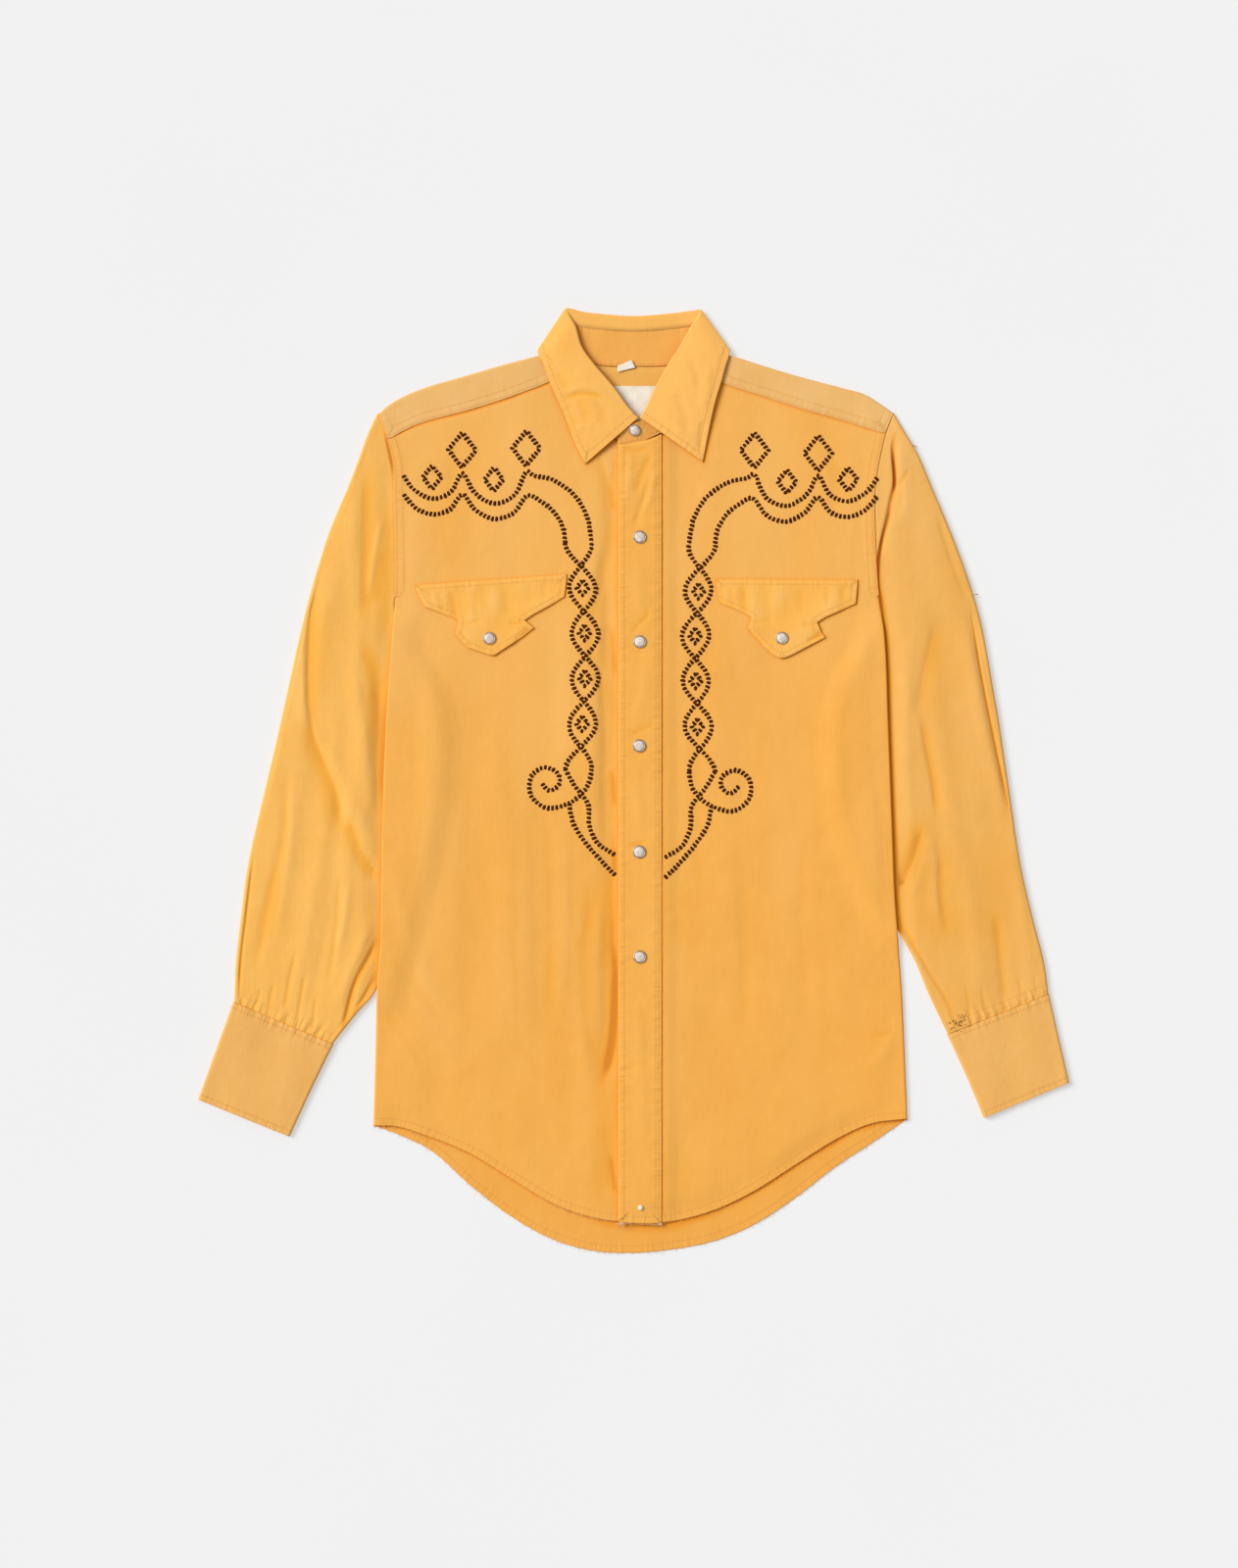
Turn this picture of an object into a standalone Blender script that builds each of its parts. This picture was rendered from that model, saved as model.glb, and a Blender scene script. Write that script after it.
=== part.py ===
"""Western snap shirt lying flat on its back: sewn cloth panels as thin shells, snap caps as turned solids.

Frame: +X to the viewer's right, +Y from hem to neck, +Z up from the surface it lies on.
Tables are in millimetres; every mesh is made in metres.
"""
import bpy
import bmesh
import math
from collections import namedtuple
from mathutils import Vector, Matrix

for old in list(bpy.data.objects):
    bpy.data.objects.remove(old, do_unlink=True)

MM = 0.001

# ------------------------------------------------------------------ sizes (mm)
CLOTH = 1.0            # wall of one layer of shirting
CUFF_CLOTH = 1.6       # interfaced cuff
SEAM = 0.3             # gap between two pieces at a seam
LAYER = 1.35           # middle of one layer to the middle of the layer lying on it
HOLLOW = 3.0           # middle of the back to the middle of the front
SIDE_HOLLOW = 2.1      # the same, where the body lies over a sleeve
SLEEVE_UNDER = 2.0     # middle of sleeve back to middle of sleeve front under the body
SLEEVE_RISE = 4.2      # the same, out in the open
STACK = 3.4            # how far a tucked sleeve carries the body
UNDERARM = 158.0       # height of the underarm point
BACK_SEAM = 226.0      # level of the yoke seam across the back
NECK_LIFT = 1.4        # the collar's fall lifts the yoke at the nape
BAND_LEFT, BAND_RIGHT = -13.5, 24.6     # edges of the front band
UNDERLAP = 23.0        # the other front's edge, beneath the band
CUFF_RISE = 3.4
LEAF_RISE = 1.25       # half height of the collar's roll

# ---------------------------------------------------------------- small tools


def ease(a, b, v):
    t = min(1.0, max(0.0, (v - a) / (b - a)))
    return t * t * (3.0 - 2.0 * t)


def mix(a, b, t):
    return a + (b - a) * t


def along(rows, v, col=1):
    """Smooth curve through the rows of a table whose first column ascends."""
    n = len(rows)
    if v <= rows[0][0]:
        return rows[0][col]
    if v >= rows[-1][0]:
        return rows[-1][col]
    i = 0
    while rows[i + 1][0] < v:
        i += 1
    x0, x1 = rows[i][0], rows[i + 1][0]
    y0, y1 = rows[i][col], rows[i + 1][col]
    d = (y1 - y0) / (x1 - x0)
    d0 = d if i == 0 else 0.5 * (d + (y0 - rows[i - 1][col]) / (x0 - rows[i - 1][0]))
    d1 = d if i + 2 >= n else 0.5 * (d + (rows[i + 2][col] - y1) / (rows[i + 2][0] - x1))
    h, t = x1 - x0, (v - x0) / (x1 - x0)
    t2, t3 = t * t, t * t * t
    return ((2 * t3 - 3 * t2 + 1) * y0 + (t3 - 2 * t2 + t) * h * d0
            + (-2 * t3 + 3 * t2) * y1 + (t3 - t2) * h * d1)


def station(rows, k):
    """Smooth row between the rows of a table, at the fractional row number k."""
    n = len(rows)
    k = min(n - 1.0, max(0.0, k))
    i = min(int(k), n - 2)
    t = k - i
    a, b = rows[max(i - 1, 0)], rows[i]
    c, d = rows[i + 1], rows[min(i + 2, n - 1)]
    return [0.5 * (2 * q + (r - p) * t + (2 * p - 5 * q + 4 * r - s) * t * t
                   + (3 * q - p - 3 * r + s) * t * t * t) for p, q, r, s in zip(a, b, c, d)]


def spaced(n):
    return [i / n for i in range(n + 1)]


# ------------------------------------------------------------------ the outline
Side = namedtuple("Side", "y left right")
SIDES = (                       # armhole seam above the underarm, side fold below it
    Side(-300.0, -225.7, 237.6),
    Side(-240.0, -224.0, 235.2),
    Side(-180.0, -222.4, 232.4),
    Side(-140.0, -219.6, 229.4),
    Side(-105.0, -218.9, 226.6),
    Side(-40.0, -218.0, 224.0),
    Side(50.0, -214.6, 220.6),
    Side(125.0, -209.4, 217.4),
    Side(165.0, -206.6, 212.2),
    Side(190.0, -206.4, 210.5),
    Side(225.0, -207.0, 209.2),
    Side(250.0, -207.6, 209.0),
    Side(275.0, -208.8, 212.6),
    Side(300.0, -215.0, 218.4),
    Side(317.0, -221.4, 224.8),
)
Hem = namedtuple("Hem", "x front back")
HEM = (
    Hem(-226.0, -299.6, -299.6),
    Hem(-205.0, -300.7, -307.3),
    Hem(-175.0, -310.3, -322.0),
    Hem(-140.0, -325.0, -353.0),
    Hem(-105.0, -346.5, -379.5),
    Hem(-70.0, -367.4, -398.6),
    Hem(-35.0, -380.6, -408.5),
    Hem(0.0, -385.0, -410.3),
    Hem(35.0, -383.5, -407.0),
    Hem(70.0, -373.0, -400.0),
    Hem(105.0, -356.3, -385.3),
    Hem(140.0, -334.0, -362.5),
    Hem(175.0, -312.0, -335.5),
    Hem(205.0, -298.4, -316.0),
    Hem(237.6, -293.7, -293.7),
)
Shoulder = namedtuple("Shoulder", "x fold seam")
SHOULDER = (                    # the fold over the shoulder, and the yoke's front seam
    Shoulder(-221.4, 316.6, 296.0),
    Shoulder(-212.9, 324.3, 295.6),
    Shoulder(-200.0, 332.0, 301.5),
    Shoulder(-181.5, 339.6, 308.8),
    Shoulder(-146.6, 349.8, 317.8),
    Shoulder(-111.8, 360.0, 328.6),
    Shoulder(-82.0, 367.6, 339.8),
    Shoulder(-59.5, 372.7, 348.4),
    Shoulder(62.5, 372.7, 347.8),
    Shoulder(87.1, 366.8, 338.9),
    Shoulder(108.4, 360.0, 332.2),
    Shoulder(142.4, 349.8, 320.8),
    Shoulder(180.6, 339.6, 310.3),
    Shoulder(200.0, 334.0, 304.5),
    Shoulder(215.5, 324.3, 300.4),
    Shoulder(224.8, 317.6, 300.0),
)
Nape = namedtuple("Nape", "x y")
NAPE = (                        # neckline of the yoke, at the back of the neck
    Nape(-62.4, 371.0),
    Nape(-46.3, 364.4),
    Nape(-30.0, 358.8),
    Nape(0.0, 357.8),
    Nape(31.0, 358.8),
    Nape(49.7, 365.1),
    Nape(62.8, 371.3),
)
NECK_FRONT_LEFT = (             # neckline of the front panels, x then y
    Nape(-62.4, 347.4),
    Nape(-52.2, 333.3),
    Nape(-42.0, 315.6),
    Nape(-28.4, 301.3),
    Nape(-14.0, 293.7),
    Nape(-2.0, 291.0),
    Nape(24.0, 290.0),
)
NECK_FRONT_RIGHT = (
    Nape(-14.5, 288.4),
    Nape(4.7, 291.1),
    Nape(16.6, 294.2),
    Nape(31.0, 302.0),
    Nape(44.6, 316.6),
    Nape(54.8, 333.3),
    Nape(62.8, 347.8),
)
Tuck = namedtuple("Tuck", "y left right")
TUCK = (                        # where a hidden sleeve edge runs beneath the body
    Tuck(-182.0, -222.0, 262.0),
    Tuck(-135.0, -208.0, 234.0),
    Tuck(-118.0, -203.5, 222.0),
    Tuck(-75.0, -192.5, 202.0),
    Tuck(-4.0, -178.5, 187.0),
    Tuck(55.0, -179.5, 187.0),
    Tuck(86.0, -190.0, 196.0),
    Tuck(110.0, -205.0, 210.0),
    Tuck(125.0, -210.0, 218.0),
)
Window = namedtuple("Window", "top0 top1 end1 end0")
LIFT_LEFT = Window(153.0, 126.0, -186.0, -210.0)
LIFT_RIGHT = Window(153.0, 126.0, -134.0, -158.0)

Fold = namedtuple("Fold", "x0 y0 x1 y1 width height")
BODY_FOLDS = (                  # soft ridges and troughs on the fronts
    Fold(-21.5, 190.0, -21.5, -88.0, 6.5, -0.9),
    Fold(-20.5, -178.0, -22.0, -255.0, 6.0, -0.8),
    Fold(-44.0, 230.0, -40.0, -60.0, 15.0, 0.9),
    Fold(-110.0, 60.0, -96.0, -250.0, 18.0, 0.9),
    Fold(-168.0, 120.0, -160.0, -220.0, 20.0, 0.8),
    Fold(70.0, 120.0, 62.0, -200.0, 20.0, 0.8),
    Fold(168.0, 150.0, 176.0, -180.0, 22.0, 0.9),
)
SLEEVE_LEFT_FOLDS = (
    Fold(-255.0, 215.0, -318.0, -150.0, 10.0, 1.5),
    Fold(-226.0, 205.0, -289.0, -170.0, 9.0, 1.2),
    Fold(-243.0, 150.0, -263.0, -120.0, 7.0, -0.9),
    Fold(-236.0, 40.0, -258.0, -195.0, 8.0, 1.4),
)
SLEEVE_RIGHT_FOLDS = (
    Fold(262.0, 215.0, 322.0, -40.0, 10.0, 1.4),
    Fold(233.0, 205.0, 300.0, -160.0, 10.0, 1.5),
    Fold(250.0, 130.0, 268.0, -90.0, 7.0, -0.9),
    Fold(300.0, 160.0, 331.0, -45.0, 4.0, -0.8),
)


def relief(folds, x, y):
    total = 0.0
    for f in folds:
        dx, dy = f.x1 - f.x0, f.y1 - f.y0
        length2 = dx * dx + dy * dy
        t = ((x - f.x0) * dx + (y - f.y0) * dy) / length2
        px, py = f.x0 + dx * t, f.y0 + dy * t
        d2 = ((x - px) ** 2 + (y - py) ** 2) / (f.width * f.width)
        total += f.height * math.exp(-d2) * ease(-0.08, 0.2, t) * ease(1.08, 0.8, t)
    return total


def left_edge(y):
    return along(SIDES, y, 1)


def right_edge(y):
    return along(SIDES, y, 2)


def lifted(x, y):
    """How much of the sleeve's stack carries the body here, 0 to 1."""
    m = 0.0
    for col, win, s in ((1, LIFT_LEFT, 1.0), (2, LIFT_RIGHT, -1.0)):
        if win.end0 < y < win.top0:
            inside = s * (x - along(TUCK, y, col))
            part = ease(win.top0, win.top1, y) * ease(win.end0, win.end1, y) * ease(30.0, 6.0, inside)
            m = max(m, part)
    return m


def nape_lift(x, y):
    rho = math.hypot((x - 1.0) / 92.0, (y - 405.0) / 56.0)
    return NECK_LIFT * ease(1.45, 1.22, rho)


def back_z(x, y):
    return CLOTH / 2 + STACK * lifted(x, y) + nape_lift(x, y)


def front_z(x, y):
    m = lifted(x, y)
    side = min(x - left_edge(y), right_edge(y) - x)
    soft = ease(2.0, 30.0, side) * ease(20.0, 60.0, y - along(HEM, x, 1) + 20.0)
    return CLOTH / 2 + STACK * m + mix(HOLLOW, SIDE_HOLLOW, m) + soft * relief(BODY_FOLDS, x, y)


def over_front_z(x, y):
    """The other front, carried by the underlap beside the band."""
    return front_z(x, y) + LAYER * ease(40.0, 27.0, x)


def band_z(x, y):
    return over_front_z(x, y) + LAYER


def top_left(x):
    return along(NECK_FRONT_LEFT, x) if x > -62.4 else along(SHOULDER, x, 2)


def top_right(x):
    return along(NECK_FRONT_RIGHT, x) if x < 62.8 else along(SHOULDER, x, 2)


# ------------------------------------------------------------------ mesh makers
home = bpy.data.collections.new("western_snap_shirt")
bpy.context.scene.collection.children.link(home)


def material(name, colour, roughness, metallic=0.0):
    m = bpy.data.materials.new(name)
    m.use_nodes = True
    b = m.node_tree.nodes["Principled BSDF"]
    b.inputs["Base Color"].default_value = (*colour, 1.0)
    b.inputs["Roughness"].default_value = roughness
    b.inputs["Metallic"].default_value = metallic
    return m


MUSTARD = (0.905, 0.430, 0.082)
PALE = (0.86, 0.84, 0.80)
PEARL = (0.76, 0.71, 0.66)
STEEL = (0.56, 0.53, 0.49)


def add(name, mesh, colour, roughness, metallic=0.0):
    ob = bpy.data.objects.new(name, mesh)
    ob.data.materials.append(material(name, colour, roughness, metallic))
    home.objects.link(ob)
    return ob


def sheet(name, rows, thickness=CLOTH, wrap=False, colour=MUSTARD, roughness=0.9, even=True):
    """Cloth lofted through rows of middle-surface points; None leaves an opening."""
    bm = bmesh.new()
    made = [[None if p is None else bm.verts.new(Vector(p) * MM) for p in row] for row in rows]
    n = len(rows[0])
    for a, b in zip(made, made[1:]):
        for j in range(n if wrap else n - 1):
            k = (j + 1) % n
            quad = (a[j], a[k], b[k], b[j])
            if all(quad):
                bm.faces.new(quad)
    loose = [v for v in bm.verts if not v.link_faces]
    bmesh.ops.delete(bm, geom=loose, context="VERTS")
    bmesh.ops.recalc_face_normals(bm, faces=bm.faces[:])
    mesh = bpy.data.meshes.new(name)
    bm.to_mesh(mesh)
    bm.free()
    ob = add(name, mesh, colour, roughness)
    wall = ob.modifiers.new("wall", "SOLIDIFY")
    wall.thickness = thickness * MM
    wall.offset = 0.0
    wall.use_even_offset = even
    wall.use_rim = True
    wall.show_viewport = wall.show_render = True
    return ob


# ------------------------------------------------------------------ the body
SIDE_LEVELS = (128.0, 104.0, 62.0, 8.0, -50.0, -98.0, -128.0, -156.0, -184.0, -212.0)
CHEST_ROWS = 6        # rows from the underarm to the top edge
FOLD_STEPS = 2        # quarter turn at a side fold


def side_turn(y):
    """0 at the armhole, 1 where front and back meet in a side fold."""
    return 1.0 if y <= UNDERARM + 0.01 else 0.0


def side_fold(s, y, upper):
    """Points of a quarter turn at one side, from the seam to the flat cloth."""
    edge = left_edge(y) if s > 0 else right_edge(y)
    zb, zf = back_z(edge + s * 3, y), front_z(edge + s * 3, y)
    r = (zf - zb) / 2
    out = []
    for i in range(FOLD_STEPS):
        a = math.radians(17.0 + 73.0 * i / FOLD_STEPS)
        x = edge + s * (CLOTH / 2 + r * (1 - math.cos(a)))
        out.append((x, y, zb + r + (r if upper else -r) * math.sin(a)))
    return out


def flat_edge(s, y):
    edge = left_edge(y) if s > 0 else right_edge(y)
    if side_turn(y):
        r = (front_z(edge + s * 3, y) - back_z(edge + s * 3, y)) / 2
        return edge + s * (CLOTH / 2 + r)
    return edge + s * SEAM / 2


def beside_tuck(s, y, inset):
    """A line down the body a little inside the sleeve that is tucked beneath it."""
    tuck = along(TUCK, y, 1 if s > 0 else 2)
    edge = flat_edge(s, y)
    inside = max(s * (tuck - edge), 0.0)
    return edge + s * (inside + inset)


def down_to(hem):
    return list(SIDE_LEVELS) + [mix(SIDE_LEVELS[-1], hem, 0.5), hem]


def column_levels(x_at, top_at, hem_at):
    """Levels of one column: top edge, down to the underarm, down to the hem."""
    y = top_at(x_at(UNDERARM))
    for _ in range(8):
        y = top_at(x_at(y))
    top = y
    y = -340.0
    for _ in range(8):
        y = hem_at(x_at(y))
    levels = [mix(top, UNDERARM, t) for t in spaced(CHEST_ROWS)]
    return levels + down_to(y)


def front_panel(name, s, inner, z_at, top_at, shares):
    columns = []
    for w in (0.0, "near", "far") + shares:
        def x_at(y, w=w):
            if w == 0.0:
                return flat_edge(s, y)
            if w == "near":
                return beside_tuck(s, y, 7.0)
            if w == "far":
                return beside_tuck(s, y, 32.0)
            return mix(beside_tuck(s, y, 32.0), inner, w)
        levels = column_levels(x_at, lambda x: top_at(x) - SEAM, lambda x: along(HEM, x, 1))
        columns.append([(x_at(y), y, z_at(x_at(y), y)) for y in levels])
    edge_levels = [p[1] for p in columns[0]]
    turned = [side_fold(s, y, True) if side_turn(y) else [None] * FOLD_STEPS for y in edge_levels]
    rows = []
    for i in range(len(edge_levels)):
        rows.append(turned[i] + [c[i] for c in columns])
    sheet(name, rows)


LEFT_SHARES = (0.22, 0.42, 0.575, 0.645, 0.72, 0.785, 0.87, 1.0)
RIGHT_SHARES = (0.22, 0.42, 0.60, 0.68, 0.755, 0.825, 0.865, 1.0)
front_panel("front_left", 1.0, UNDERLAP, front_z, top_left, LEFT_SHARES)
front_panel("front_right", -1.0, BAND_LEFT, over_front_z, top_right, RIGHT_SHARES)

# back panel, from the yoke seam to the tail
columns = []
for w in (-3, -2, -1, 0.13, 0.26, 0.38, 0.5, 0.62, 0.74, 0.87, 1, 2, 3):
    def x_at(y, w=w):
        if abs(w) == 3:
            return flat_edge(-w / 3, y)
        if abs(w) == 2:
            return beside_tuck(-w / 2, y, 7.0)
        if abs(w) == 1:
            return beside_tuck(-w, y, 32.0)
        return mix(beside_tuck(1.0, y, 32.0), beside_tuck(-1.0, y, 32.0), w)
    hem = -340.0
    for _ in range(8):
        hem = along(HEM, x_at(hem), 2)
    levels = [BACK_SEAM - SEAM, 190.0, UNDERARM] + down_to(hem)
    columns.append([(x_at(y), y, back_z(x_at(y), y)) for y in levels])
rows = []
for i in range(len(columns[0])):
    yl, yr = columns[0][i][1], columns[-1][i][1]
    left = side_fold(1.0, yl, False) if side_turn(yl) else [None] * FOLD_STEPS
    right = side_fold(-1.0, yr, False) if side_turn(yr) else [None] * FOLD_STEPS
    rows.append(left + [c[i] for c in columns] + right[::-1])
sheet("back", rows)

# yoke, from its front seams over the shoulders and down to its back seam
YOKE_COLUMNS = (0.0, 0.045, 0.12, 0.21, 0.29, 0.3557, 0.3577, 0.38, 0.40, 0.43, 0.465, 0.5,
                0.54, 0.575, 0.60, 0.618, 0.636, 0.638, 0.70, 0.79, 0.88, 0.955, 1.0)


def yoke_column(u):
    def x_at(y):
        y = min(y, 316.6)
        return mix(left_edge(y) + SEAM / 2, right_edge(y) - SEAM / 2, u)
    x = x_at(316.6)
    fold = along(SHOULDER, x, 1)
    if -62.4 < x < 62.8:
        nape = along(NAPE, x)
        levels = [mix(nape, BACK_SEAM, t) for t in (0.0, 0.16, 0.26, 0.55, 1.0)]
        return [None] * 6 + [(x_at(y), y, back_z(x_at(y), y)) for y in levels]
    seam = along(SHOULDER, x_at(300.0), 2)
    zf, zb = front_z(x, fold - 6), back_z(x, fold - 6)
    r = (zf - zb) / 2
    centre = fold - CLOTH / 2 - r
    out = [(x_at(y), y, front_z(x_at(y), y)) for y in (seam, mix(seam, centre, 0.5))]
    for i in range(5):
        a = math.radians(90.0 - 45.0 * i)
        y = centre + r * math.cos(a)
        out.append((x_at(y), y, zb + r + r * math.sin(a)))
    out += [(x_at(y), y, back_z(x_at(y), y)) for y in
            (mix(centre, BACK_SEAM, t) for t in (0.16, 0.26, 0.55, 1.0))]
    return out


sheet("yoke", [yoke_column(u) for u in YOKE_COLUMNS])

# front band
rows = []
for t in spaced(20):
    row = []
    for w in spaced(3):
        x = mix(BAND_LEFT, BAND_RIGHT, w)
        y = mix(along(NECK_FRONT_RIGHT, x) - SEAM, along(HEM, x, 1) - 0.4, t)
        row.append((x, y, band_z(x, y)))
    rows.append(row)
sheet("placket", rows)

# ------------------------------------------------------------------ sleeves
Arm = namedtuple("Arm", "ox oy ix iy")
ARM_LEFT = (                    # one section a row: outer fold, then inner edge
    Arm(-224.6, 311.8, -220.0, 308.5),
    Arm(-231.0, 298.5, -215.0, 299.0),
    Arm(-238.5, 277.5, -209.4, 280.0),
    Arm(-248.5, 251.5, -208.0, 252.0),
    Arm(-263.0, 217.0, -207.2, 218.0),
    Arm(-275.0, 180.0, -206.8, 186.0),
    Arm(-283.5, 149.0, -208.0, UNDERARM),
    Arm(-290.5, 120.0, -211.2, 130.0),
    Arm(-296.0, 95.0, -205.0, 110.0),
    Arm(-302.0, 68.0, -190.0, 86.0),
    Arm(-310.0, 32.0, -179.0, 52.0),
    Arm(-319.0, -6.0, -178.5, -4.0),
    Arm(-334.0, -72.0, -192.5, -75.0),
    Arm(-341.0, -124.0, -208.0, -135.0),
    Arm(-345.0, -160.0, -222.5, -181.0),
    Arm(-345.6, -177.0, -240.0, -203.0),
    Arm(-346.0, -191.6, -260.6, -227.6),
)
ARM_RIGHT = (
    Arm(228.0, 312.6, 223.6, 309.0),
    Arm(236.5, 299.0, 218.4, 299.5),
    Arm(247.0, 281.0, 214.2, 279.0),
    Arm(259.5, 251.5, 209.4, 252.0),
    Arm(274.0, 217.0, 209.6, 216.0),
    Arm(287.0, 183.0, 211.0, 184.0),
    Arm(297.0, 152.0, 213.6, UNDERARM),
    Arm(303.0, 128.0, 218.8, 131.0),
    Arm(309.0, 95.0, 210.0, 110.0),
    Arm(312.5, 74.0, 196.0, 86.0),
    Arm(316.5, 52.0, 187.5, 54.0),
    Arm(325.0, -5.0, 187.0, -6.0),
    Arm(335.0, -71.0, 202.0, -76.0),
    Arm(345.0, -116.0, 223.0, -120.0),
    Arm(354.6, -153.0, 243.0, -156.0),
    Arm(357.8, -171.0, 255.0, -185.0),
    Arm(359.2, -184.6, 272.2, -219.0),
)
ARMHOLE_ROWS = 6
SLEEVE_ROWS = 17


def sleeve_top(s, x, y):
    """Height of the sleeve's upper cloth: level with the front at the armhole, pressed
    flat beneath the body, and full where it lies open."""
    edge = left_edge(y) if s > 0 else right_edge(y)
    out = s * (edge - x)
    folds = SLEEVE_LEFT_FOLDS if s > 0 else SLEEVE_RIGHT_FOLDS
    near = mix(SLEEVE_UNDER, HOLLOW, ease(128.0, 156.0, y))
    away = ease(-206.0, -176.0, y) if s > 0 else ease(-168.0, -136.0, y)
    opened = max(ease(1.0, 18.0, out), 1.0 - away)
    free = ease(1.0, 22.0, out) * ease(-196.0, -150.0, y)
    return CLOTH / 2 + mix(near, SLEEVE_RISE, opened) + free * relief(folds, x, y)


def tube_section(o, i, top, low, closed, cross=None):
    """Flattened ring from the inner edge along the back, round the outer fold and
    along the front again."""
    o, i = Vector((o[0], o[1], 0)), Vector((i[0], i[1], 0))
    across = (i - o).normalized()
    near = o + across * 3
    r = (top(near.x, near.y) - low) / 2
    start = o + across * (CLOTH / 2 + r)
    far = i - across * 3
    ri = (top(far.x, far.y) - low) / 2
    stop = i - across * (CLOTH / 2 + ri) if closed else i.copy()
    ring = []
    for t in (1.0, 0.66, 0.33):
        p = start.lerp(stop, t)
        ring.append((p.x, p.y, low))
    for k in range(5):
        a = math.radians(-90.0 + 45.0 * k)
        p = start - across * r * math.cos(a)
        ring.append((p.x, p.y, low + r + r * math.sin(a)))
    length = (stop - start).length
    stops = spaced(7)[1:]
    if cross is not None:                   # a column each side of the body's edge
        t_in = min(cross(start, stop) + 1.5 / length, 1.0 - 4.0 / length)
        t_out = t_in - 18.0 / length
        if t_out > 8.0 / length:
            stops = [t_out * t for t in spaced(4)[1:]] + [t_in, (t_in + 1.0) / 2, 1.0]
    for t in stops:
        p = start.lerp(stop, t)
        ring.append((p.x, p.y, top(p.x, p.y)))
    for k in range(1, 4):
        if not closed:
            ring.append(None)
            continue
        a = math.radians(90.0 - 45.0 * k)
        p = stop + across * ri * math.cos(a)
        ring.append((p.x, p.y, low + ri + ri * math.sin(a)))
    return ring


def sleeve(name, s, table):
    rows = []
    n = len(table) - 1
    for t in spaced(SLEEVE_ROWS - 1 + 1):
        k = t * n
        a = station(table, k)
        closed = k >= ARMHOLE_ROWS - 0.35
        if not closed:                      # the open part ends at the armhole seam
            edge = left_edge(a[3]) if s > 0 else right_edge(a[3])
            a[2] = edge - s * 2.8 * SEAM

        def cross(start, stop):
            hits = [u / 60.0 for u in range(61)
                    if s * (start.lerp(stop, u / 60.0).x
                            - (left_edge if s > 0 else right_edge)(start.lerp(stop, u / 60.0).y)) > 0]
            return hits[0] if hits else 1.0
        rows.append(tube_section((a[0], a[1]), (a[2], a[3]), lambda x, y: sleeve_top(s, x, y),
                                 CLOTH / 2, closed, cross))
    sheet(name, rows, wrap=True)


sleeve("sleeve_left", 1.0, ARM_LEFT)
sleeve("sleeve_right", -1.0, ARM_RIGHT)

Cuff = namedtuple("Cuff", "ox oy ix iy")
CUFF_LEFT = (
    Cuff(-346.6, -192.6, -260.2, -229.2),
    Cuff(-361.0, -232.0, -279.0, -267.6),
    Cuff(-377.2, -277.2, -298.2, -309.2),
)
CUFF_RIGHT = (
    Cuff(359.6, -185.6, 271.6, -220.6),
    Cuff(367.6, -221.0, 288.0, -256.0),
    Cuff(377.2, -262.4, 303.4, -293.0),
)


def cuff(name, table):
    rows = []
    for t in spaced(4):
        a = station(table, t * 2.0)
        low = CUFF_CLOTH / 2

        def top(x, y):
            return low + CUFF_RISE
        rows.append(tube_section((a[0], a[1]), (a[2], a[3]), top, low, True))
    sheet(name, rows, thickness=CUFF_CLOTH, wrap=True)


cuff("cuff_left", CUFF_LEFT)
cuff("cuff_right", CUFF_RIGHT)

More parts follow.
